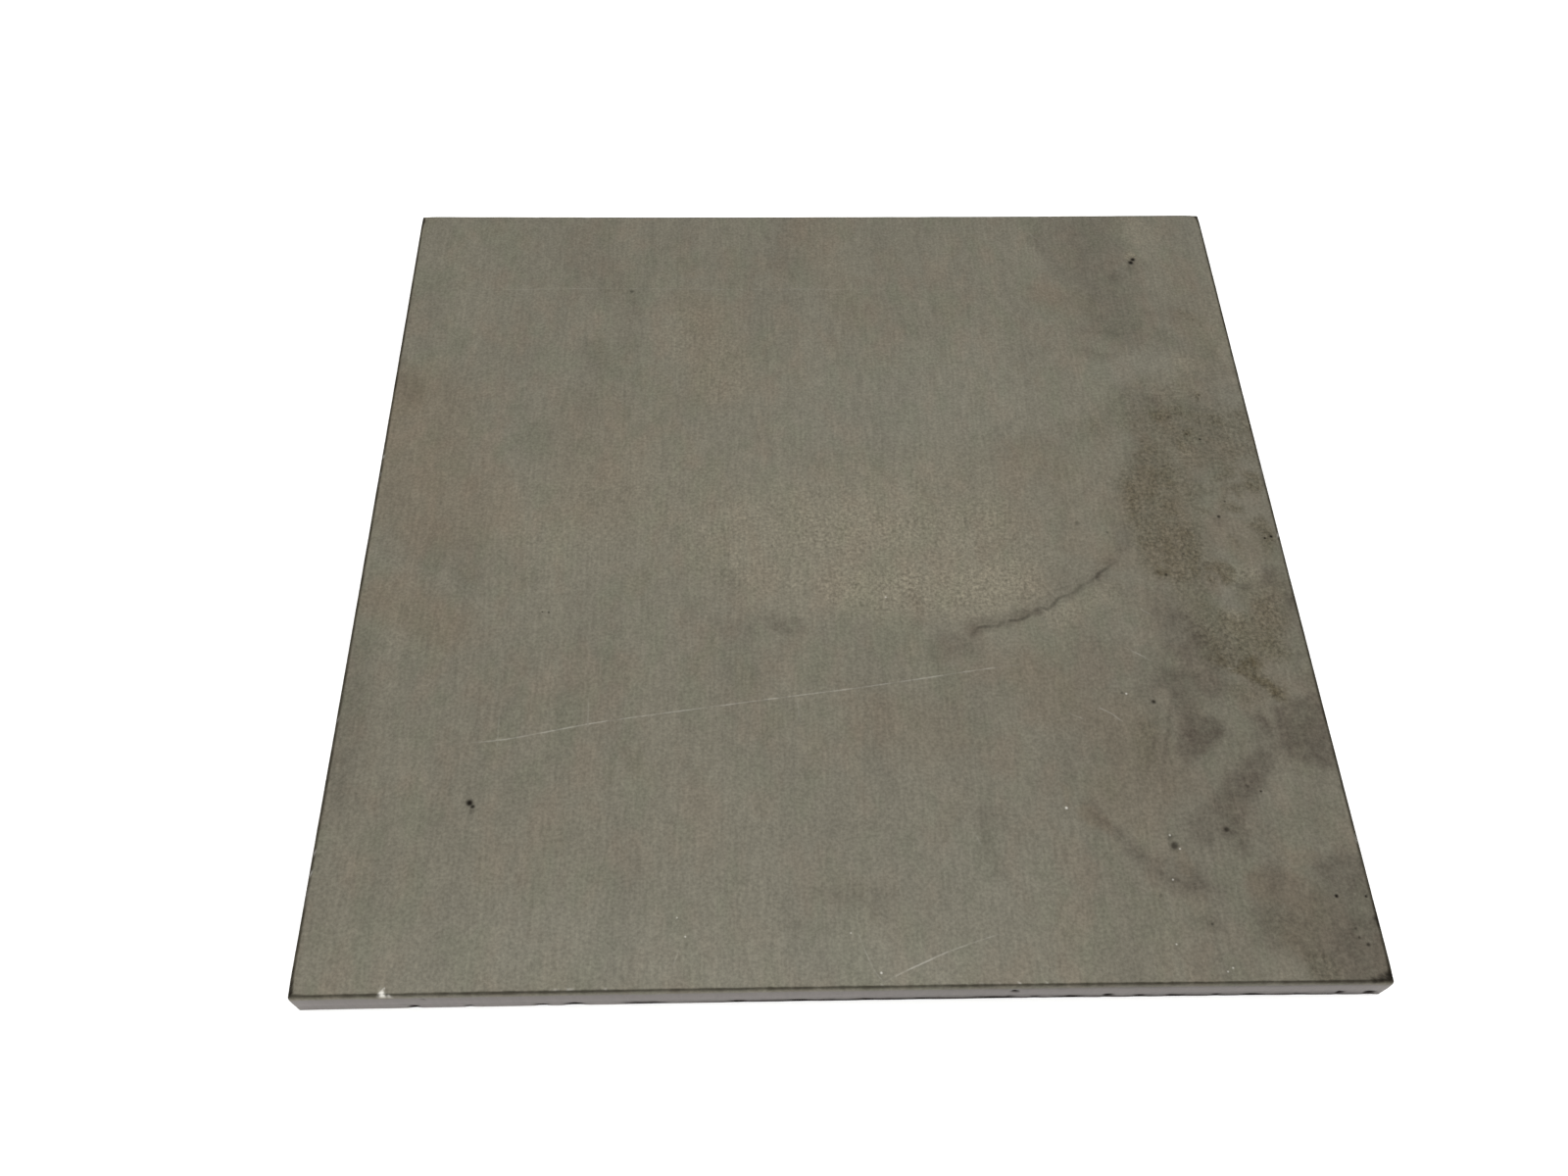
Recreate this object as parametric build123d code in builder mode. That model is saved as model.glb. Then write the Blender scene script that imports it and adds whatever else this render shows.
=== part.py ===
"""Square of hot-rolled mild steel plate, cut to size on a guillotine shear.

The plate is one solid, lying flat. Its frame has +Z up through the thickness, +Y along
the rolling direction and +X across it, with the origin at the middle of the underside.

A sheared edge isn't a plain square one. From the top face down it has
- the roll-over, where the blade drew the face down before it began to cut,
- the burnished land, a smooth upright band that the blade wiped as it cut,
- the break, a rougher band that tore and leans in under the land,
- the dressed lower edge, where the burr was knocked off.
The shear cuts one pair of opposite edges and then the other, so the plate is what the
two cut sections have in common, and their roll-overs meet in a mitre at each corner.
"""

import os
from math import radians, tan

from build123d import *

# Stock size, in millimetres
plate_width = 150.0
plate_length = 150.0
plate_thickness = 6.0

# Sheared edge, in millimetres and degrees
roll_over_inset = 0.5
roll_over_depth = 1.1
burnished_land = 1.9
break_lean = 1.5
lower_edge_radius = 0.2

# Easing of the four upright corners, in millimetres
corner_radius = 0.5

# Heights above the underside: the break takes what is left of the thickness
land_top = plate_thickness - roll_over_depth
land_foot = land_top - burnished_land
break_inset = land_foot * tan(radians(break_lean))


def sheared_section(plane, full_width):
    """The plate's outline across one pair of sheared edges, drawn upright on a plane."""
    edge = full_width / 2
    with BuildSketch(plane) as section:
        with BuildLine():
            Polyline((edge - break_inset, 0), (edge, land_foot), (edge, land_top))
            roll_over = EllipticalCenterArc(
                (edge - roll_over_inset, land_top),
                x_radius=roll_over_inset,
                y_radius=roll_over_depth,
                arc_size=90,
            )
            mirror(about=Plane.YZ)
            Line((break_inset - edge, 0), (edge - break_inset, 0))
            Line(roll_over @ 1, (roll_over_inset - edge, plate_thickness))
        make_face()
        fillet(section.vertices().group_by(Axis.Y)[0], lower_edge_radius)
    return section.sketch


across_rolling = sheared_section(Plane.XZ.offset(-plate_length / 2), plate_width)
along_rolling = sheared_section(Plane.YZ.offset(-plate_width / 2), plate_length)

with BuildPart() as steel_plate:
    extrude(across_rolling, amount=plate_length)
    extrude(along_rolling, amount=plate_width, mode=Mode.INTERSECT)
    # The blade's second stroke left the corners sharp, and they were eased by hand
    with BuildSketch(Plane.XY) as eased_outline:
        RectangleRounded(plate_width, plate_length, corner_radius)
    extrude(amount=plate_thickness, mode=Mode.INTERSECT)

steel_plate.part.label = "steel_plate"

os.makedirs("parts", exist_ok=True)
export_step(steel_plate.part, "parts/steel_plate.step")
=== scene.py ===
"""Looks of a square of pickled hot-rolled steel plate, cut to size on a guillotine shear.

The solid model gives the plate's overall size. Here one closed skin takes its place, with
the parts of a real plate that are too fine for the solid: the torn line between the
burnished land and the break, nicks in the lower edge, pits, scratches and the stains that
handling and damp leave on bare steel.

Lengths are in millimetres, and become metres only where they enter Blender. +X is to the
right, +Y runs back along the rolling direction and +Z is up, with the origin at the middle
of the underside. The four sides are numbered from the front one, anticlockwise.
"""

import logging
from collections.abc import Callable
from dataclasses import dataclass, field
from enum import Enum

import bpy
import numpy as np
from mathutils import Matrix, Vector
from mathutils.geometry import delaunay_2d_cdt

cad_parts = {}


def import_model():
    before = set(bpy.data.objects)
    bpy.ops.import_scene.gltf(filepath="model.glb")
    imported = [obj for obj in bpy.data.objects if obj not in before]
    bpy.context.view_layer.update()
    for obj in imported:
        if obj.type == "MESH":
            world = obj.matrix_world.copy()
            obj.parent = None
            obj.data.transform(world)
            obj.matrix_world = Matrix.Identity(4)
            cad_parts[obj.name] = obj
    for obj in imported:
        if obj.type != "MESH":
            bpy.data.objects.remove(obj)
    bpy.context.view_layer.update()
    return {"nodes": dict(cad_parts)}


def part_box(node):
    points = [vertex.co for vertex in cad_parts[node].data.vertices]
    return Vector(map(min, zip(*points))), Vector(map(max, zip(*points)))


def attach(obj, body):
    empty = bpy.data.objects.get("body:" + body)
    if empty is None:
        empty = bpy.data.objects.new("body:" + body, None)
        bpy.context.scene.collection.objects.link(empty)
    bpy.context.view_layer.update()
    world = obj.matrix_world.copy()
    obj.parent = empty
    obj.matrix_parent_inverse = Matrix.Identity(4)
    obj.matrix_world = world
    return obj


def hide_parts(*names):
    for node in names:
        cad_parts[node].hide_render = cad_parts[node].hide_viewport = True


MM = 0.001
NODE = "steel_plate"
BODY = "root"

# Keeps a division clear of nothing
TINY = 1e-9

log = logging.getLogger("steel_plate")


class Mark(Enum):
    """The marks that the skin carries from its points to its finishes."""

    WARM = "warm"
    FLUSH = "flush"
    PALE = "pale"
    RUST = "rust"
    # Grease and tide lines, and a wide band of painted shade over the front
    GREASE = "grease"
    # Painted shade: a dark line over the rim's roll-over and the top of the land
    DRAWN = "drawn"
    PIT = "pit"
    # Bare metal where pits and scores were struck, and painted highlights on the rim
    BARE = "bare"


class Zone(Enum):
    """The two finishes of the skin, by their place in the mesh's list of materials."""

    ROLLED = 0
    SHEARED = 1


# Random fields and distances


@dataclass(frozen=True)
class SoftNoise:
    """A smooth random field over a plane, from -1 to 1."""

    seed: int
    size: float
    octaves: int = 1
    lattice: int = 256

    def at(self, x: np.ndarray, y: np.ndarray | float = 0.0) -> np.ndarray:
        """Sample the field.

        Each octave is a lattice of random heights, and between its points the heights are
        blended by the smoothstep 3t^2 - 2t^3. Each octave has half the size and half the
        height of the one before, and the sum is divided by the heights added up.

        Args:
            x: places along X, in millimetres.
            y: places along Y, in millimetres, left out for places along one line.

        Returns:
            The field's value at each place.
        """
        rng = np.random.default_rng(self.seed)
        total = np.zeros(np.broadcast(x, y).shape)
        for octave in range(self.octaves):
            heights = rng.uniform(-1, 1, (self.lattice, self.lattice))
            u = np.asarray(x) * 2**octave / self.size + self.lattice / 2
            v = np.asarray(y) * 2**octave / self.size + self.lattice / 2
            column, row = np.floor(u).astype(int), np.floor(v).astype(int)
            a, b = smoothstep(u - column), smoothstep(v - row)
            c0, c1 = column % self.lattice, (column + 1) % self.lattice
            r0, r1 = row % self.lattice, (row + 1) % self.lattice
            low = heights[r0, c0] * (1 - a) + heights[r0, c1] * a
            high = heights[r1, c0] * (1 - a) + heights[r1, c1] * a
            total = total + (low * (1 - b) + high * b) / 2**octave
        return total / (2 - 2.0 ** (1 - self.octaves))


def smoothstep(value: np.ndarray) -> np.ndarray:
    """Ease from 0 to 1 by 3t^2 - 2t^3, held at 0 below and at 1 above."""
    t = np.clip(value, 0, 1)
    return t * t * (3 - 2 * t)


def smooth_path(points: np.ndarray | tuple, pitch: float, steps: int = 24) -> np.ndarray:
    """Run a Catmull-Rom curve through a few points and space it evenly.

    Between two points the curve is the cubic whose slope at each is half the step from
    the point before it to the point after it. The ends repeat their last point.

    Args:
        points: the few points, one in each row.
        pitch: the wanted spacing of the result, in millimetres.
        steps: how many places are worked out between two points before they are spaced.

    Returns:
        Points along the curve, one in each row.
    """
    points = np.asarray(points, float)
    padded = np.concatenate([points[:1], points, points[-1:]])
    t = np.linspace(0, 1, steps, endpoint=False)[:, None]
    p0, p1, p2, p3 = (padded[i : len(padded) - 3 + i, None] for i in range(4))
    cubic = (2 * p1 + (p2 - p0) * t + (2 * p0 - 5 * p1 + 4 * p2 - p3) * t**2
             + (3 * p1 - p0 - 3 * p2 + p3) * t**3) / 2
    dense = np.concatenate([cubic.reshape(-1, 2), points[-1:]])
    run = np.concatenate([[0], np.cumsum(np.linalg.norm(np.diff(dense, axis=0), axis=1))])
    even = np.linspace(0, run[-1], max(2, int(run[-1] / pitch) + 1))
    return np.stack([np.interp(even, run, dense[:, axis]) for axis in range(2)], axis=1)


def across(line: np.ndarray) -> np.ndarray:
    """Find the direction square to a line, to the left of its run.

    Args:
        line: the line's points, one in each row.

    Returns:
        The direction at each point, of length 1.
    """
    step = np.gradient(line, axis=0)
    length = np.maximum(np.linalg.norm(step, axis=1), TINY)
    return np.stack([-step[:, 1], step[:, 0]], axis=1) / length[:, None]


def near_path(x: np.ndarray, y: np.ndarray, path: np.ndarray,
              reach: float) -> tuple[np.ndarray, np.ndarray, np.ndarray]:
    """Find the places near a path, how far they lie from it and where along it.

    For each straight run of the path a place is dropped square onto the run, held
    between its ends, and the nearest of the runs counts.

    Args:
        x: places along X, in millimetres.
        y: places along Y, in millimetres.
        path: the path's points, one in each row.
        reach: how far from the path a place may lie and still count, in millimetres.

    Returns:
        The indices of the places in reach of the path's box, their distances in
        millimetres, and their shares of the path's length, from 0 to 1.
    """
    low, high = path.min(axis=0) - reach, path.max(axis=0) + reach
    near = np.flatnonzero((x > low[0]) & (x < high[0]) & (y > low[1]) & (y < high[1]))
    if not len(near):
        return near, np.zeros(0), np.zeros(0)
    place = np.stack([x[near], y[near]], axis=-1)[:, None]
    start, step = path[:-1], np.diff(path, axis=0)
    length = np.linalg.norm(step, axis=1)
    share = np.clip(((place - start) * step).sum(-1) / np.maximum(length, TINY) ** 2, 0, 1)
    gap = np.linalg.norm(place - start - share[..., None] * step, axis=-1)
    run = np.concatenate([[0], np.cumsum(length)])
    along = (run[:-1] + share * length) / max(run[-1], TINY)
    nearest = gap.argmin(axis=1)[:, None]
    return near, *(np.take_along_axis(table, nearest, 1)[:, 0] for table in (gap, along))


def nearest_gap(points: np.ndarray, others: np.ndarray, block_size: int = 2000) -> np.ndarray:
    """Find each point's distance to the nearest of some others.

    The square of a distance is the sum of both points' squares less twice their product.

    Args:
        points: the points, one in each row.
        others: the others, one in each row.
        block_size: about how many points are worked out at a time.

    Returns:
        The distance of each point, in millimetres.
    """
    gaps = []
    for block in np.array_split(points, max(1, len(points) // block_size)):
        square = (block**2).sum(1)[:, None] + (others**2).sum(1) - 2 * block @ others.T
        gaps.append(np.sqrt(np.maximum(square.min(axis=1), 0)))
    return np.concatenate(gaps)


def make_room(points: np.ndarray, others: np.ndarray, room: float) -> np.ndarray:
    """Add some points to others, which give way where they lie too near.

    Args:
        points: the points that give way, one in each row.
        others: the points that are added, one in each row.
        room: how near to an added point another may stay, in millimetres.

    Returns:
        The points that stay, and then the added ones.
    """
    return np.concatenate([points[nearest_gap(points, others) > room], others])


# Marks on the rolled faces


@dataclass(frozen=True)
class Smear:
    """A soft-edged mark that follows a path on a face."""

    path: tuple
    half_width: float
    feather: float
    strength: float

    def line(self, pitch: float = 1.0) -> np.ndarray:
        """Give the smear's middle line as evenly spaced points."""
        return smooth_path(self.path if len(self.path) > 1 else self.path * 2, pitch)

    def amount(self, x: np.ndarray, y: np.ndarray) -> np.ndarray:
        """Work out the mark's strength: full within its half width, eased over its feather.

        Args:
            x: places along X, in millimetres.
            y: places along Y, in millimetres.

        Returns:
            The strength at each place.
        """
        reach = self.half_width + self.feather
        near, gap, _ = near_path(x, y, self.line(), reach)
        result = np.zeros(x.shape)
        result[near] = self.strength * smoothstep((reach - gap) / self.feather)
        return result

    def points(self, pitch: float) -> np.ndarray:
        """Lay rows of points along and beside the smear, out to just past its feather.

        Args:
            pitch: the spacing of the points, in millimetres.

        Returns:
            The points, one in each row.
        """
        line = self.line(pitch)
        reach = self.half_width + self.feather + pitch
        offsets = np.arange(-reach, reach + pitch, pitch)
        return (line[None] + offsets[:, None, None] * across(line)[None]).reshape(-1, 2)


@dataclass(frozen=True)
class Stain:
    """A soft-edged mark with an outline of its own."""

    outline: tuple
    feather: float
    strength: float

    def amount(self, x: np.ndarray, y: np.ndarray) -> np.ndarray:
        """Work out the mark's strength: half of it on the outline, eased across the feather.

        A place lies inside when a ray from it along X crosses the outline an odd number
        of times, and its distance from the outline then counts as less than nothing.

        Args:
            x: places along X, in millimetres.
            y: places along Y, in millimetres.

        Returns:
            The strength at each place.
        """
        rim = smooth_path((*self.outline, self.outline[0]), 1.0)
        near, gap, _ = near_path(x, y, rim, self.feather)
        (x0, y0), (x1, y1) = rim[:-1].T, rim[1:].T
        place_x, place_y = x[near, None], y[near, None]
        crossing = x0 + (place_y - y0) * (x1 - x0) / np.where(y1 == y0, TINY, y1 - y0)
        crossed = ((y0 > place_y) != (y1 > place_y)) & (place_x < crossing)
        gap = np.where(crossed.sum(axis=1) % 2, -gap, gap)
        result = np.zeros(x.shape)
        result[near] = self.strength * smoothstep(0.5 - gap / self.feather)
        return result


@dataclass(frozen=True)
class Scratch:
    """A fine line: a bright score with the metal pushed up along its sides, or a dark deposit."""

    path: tuple
    half_width: float
    brightness: float = 0.0
    darkness: float = 0.0
    depth: float = 0.012
    pitch: float = 0.4
    offsets: tuple = (-3, -1, 0, 1, 3)

    def reach(self) -> float:
        """Give how far from its middle the line changes the face: three half widths."""
        return self.offsets[-1] * self.half_width

    def line(self) -> np.ndarray:
        """Give the middle line as evenly spaced points."""
        return smooth_path(self.path, self.pitch)

    def points(self) -> np.ndarray:
        """Lay rows of points along the line: its middle, its two rims and its two feet.

        Returns:
            The points, one in each row.
        """
        line = self.line()
        side = across(line) * self.half_width
        return np.concatenate([line + side * offset for offset in self.offsets])


@dataclass(frozen=True)
class Pit:
    """A small round hollow, dark where rust fills it or bright where it was struck."""

    x: float
    y: float
    radius: float
    darkness: float = 0.0
    brightness: float = 0.0
    depth: float = 0.05
    ring_points: int = 12
    rings: tuple = (0.35, 0.7, 1.05, 1.6)

    def points(self) -> np.ndarray:
        """Lay a point in the pit's middle and rings of points round it.

        The rings' radii are shares of the pit's radius, and each ring is turned a little
        from the one inside it.

        Returns:
            The points, one in each row.
        """
        ring = np.linspace(0, 2 * np.pi, self.ring_points, endpoint=False)
        radii = self.radius * np.array(self.rings)[:, None]
        x = self.x + radii * np.cos(ring + radii)
        y = self.y + radii * np.sin(ring + radii)
        return np.concatenate([[[self.x, self.y]], np.stack([x.ravel(), y.ravel()], axis=1)])


@dataclass(frozen=True)
class RolledFace:
    """One rolled face: its slight waviness, and all that has marked it.

    A face has a coarse grid of points, and finer ones where a mark is narrow. The rooms
    tell how near to a finer point a coarser one may stay, as shares of its pitch, and of
    the finer points that share a cell only the first stays.
    """

    seed: int
    warm: tuple = ()
    flush: tuple = ()
    pale: tuple = ()
    rust: tuple = ()
    grease: tuple = ()
    tides: tuple = ()
    scratches: tuple = ()
    pits: tuple = ()
    waviness: float = 0.02
    wave_size: float = 35.0
    waver: float = 1.1
    waver_size: float = 3.6
    line_waver: float = 0.55
    line_size: float = 1.6
    tide_level: float = 0.72
    tide_swing: float = 0.75
    score_level: float = 0.6
    score_swing: float = 1.1
    score_least: float = 0.2
    score_end: float = 0.1
    margin: float = 0.7
    grid_pitch: float = 0.8
    grid_room: float = 0.55
    fine_pitch: float = 0.3
    fine_room: float = 0.7
    fine_cell: float = 0.8

    def noise(self, number: int, size: float, octaves: int, *place: np.ndarray) -> np.ndarray:
        """Sample one of the face's own soft fields."""
        return SoftNoise(self.seed + number, size, octaves).at(*place)

    def laid(self, smears: tuple, x: np.ndarray, y: np.ndarray) -> np.ndarray:
        """Lay smears over each other, so that what each leaves clear is multiplied together.

        Args:
            smears: the smears and stains.
            x: places along X, in millimetres.
            y: places along Y, in millimetres.

        Returns:
            The amount that covers each place, from 0 to 1.
        """
        clear = np.ones(x.shape)
        for smear in smears:
            clear = clear * (1 - smear.amount(x, y))
        return 1 - clear

    def marks(self, x: np.ndarray, y: np.ndarray) -> dict[Mark, np.ndarray]:
        """Work out every mark at some places.

        The places are first pushed about by soft noise, which makes the smears' edges
        ragged. A scratch is strong within its half width, more in some stretches than in
        others, and fades at its ends. A pit's mark falls off as the fourth power of the
        distance over its radius.

        Args:
            x: places along X, in millimetres.
            y: places along Y, in millimetres.

        Returns:
            The amount of each mark at each place, from 0 to 1.
        """
        far_x = x + self.waver * self.noise(1, self.waver_size, 5, x, y)
        far_y = y + self.waver * self.noise(3, self.waver_size, 5, x, y)
        near_x = x + self.line_waver * self.noise(5, self.line_size, 3, x, y)
        near_y = y + self.line_waver * self.noise(6, self.line_size, 3, x, y)
        layers = {Mark.WARM: self.warm, Mark.FLUSH: self.flush, Mark.PALE: self.pale,
                  Mark.RUST: self.rust, Mark.GREASE: self.grease}
        result = {mark: self.laid(smears, far_x, far_y) for mark, smears in layers.items()}
        tide = self.laid(self.tides, near_x, near_y)
        tide = tide * (self.tide_level + self.tide_swing * self.noise(7, self.line_size, 3, x, y))
        result[Mark.GREASE] = 1 - (1 - result[Mark.GREASE]) * (1 - np.clip(tide, 0, 1))
        dark, bright = np.zeros(x.shape), np.zeros(x.shape)
        for pit in self.pits:
            fall = np.exp(-((np.hypot(x - pit.x, y - pit.y) / pit.radius) ** 4))
            dark = np.maximum(dark, pit.darkness * fall)
            bright = np.maximum(bright, pit.brightness * fall)
        stretches = self.score_level + self.score_swing * self.noise(8, self.line_size, 3, x, y)
        stretches = np.clip(stretches, self.score_least, 1)
        for scratch in self.scratches:
            near, gap, along = near_path(x, y, scratch.line(), scratch.reach())
            ends = smoothstep(along / self.score_end) * smoothstep((1 - along) / self.score_end)
            seen = smoothstep(2 - gap / scratch.half_width) * stretches[near]
            seen = seen * (self.score_least + (1 - self.score_least) * ends)
            dark[near] = np.maximum(dark[near], scratch.darkness * seen)
            bright[near] = np.maximum(bright[near], scratch.brightness * seen)
        result[Mark.PIT], result[Mark.BARE] = dark, bright
        return result

    def dip(self, x: np.ndarray, y: np.ndarray) -> np.ndarray:
        """Work out how far the face lies inside the plate's full thickness.

        The waviness is soft noise. A pit is a bell-shaped hollow. A scratch is a groove
        whose depth falls as a cosine from its middle, with a rim half as high on each side.

        Args:
            x: places along X, in millimetres.
            y: places along Y, in millimetres.

        Returns:
            The depth at each place, in millimetres, never less than 0.
        """
        depth = self.waviness * (1.5 + self.noise(9, self.wave_size, 2, x, y)) / 2
        for pit in self.pits:
            depth = depth + pit.depth * np.exp(-((np.hypot(x - pit.x, y - pit.y) / pit.radius) ** 2))
        for scratch in self.scratches:
            near, gap, _ = near_path(x, y, scratch.line(), scratch.reach())
            wave = np.cos(np.pi / 2 * np.clip(gap / scratch.half_width, 0, 3))
            depth[near] += scratch.depth * np.where(gap < scratch.half_width, wave, wave / 2)
        return np.maximum(depth, 0)

    def points(self, half_width: float, half_length: float) -> np.ndarray:
        """Choose the points inside the face's rim.

        A square grid covers the face. The tide lines, scratches and pits have finer points
        of their own, and the grid leaves those places free. A margin stays clear along the
        rim, which has points of its own.

        Args:
            half_width: half the face along X, inside its rim, in millimetres.
            half_length: half the face along Y, inside its rim, in millimetres.

        Returns:
            The points, one in each row.
        """
        steps = [np.arange(-half + self.margin, half - self.margin, self.grid_pitch)
                 for half in (half_width, half_length)]
        points = np.stack(np.meshgrid(*steps), axis=-1).reshape(-1, 2)
        if self.tides:
            fine = np.concatenate([tide.points(self.fine_pitch) for tide in self.tides])
            cell = np.round(fine / (self.fine_pitch * self.fine_cell)).astype(int)
            fine = fine[np.sort(np.unique(cell, axis=0, return_index=True)[1])]
            points = make_room(points, fine, self.grid_pitch * self.grid_room)
        exact = [mark.points() for mark in (*self.scratches, *self.pits)]
        if exact:
            points = make_room(points, np.concatenate(exact), self.fine_pitch * self.fine_room)
        reach = np.array([half_width, half_length]) - self.margin
        return points[(np.abs(points) < reach).all(axis=1)]


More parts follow.
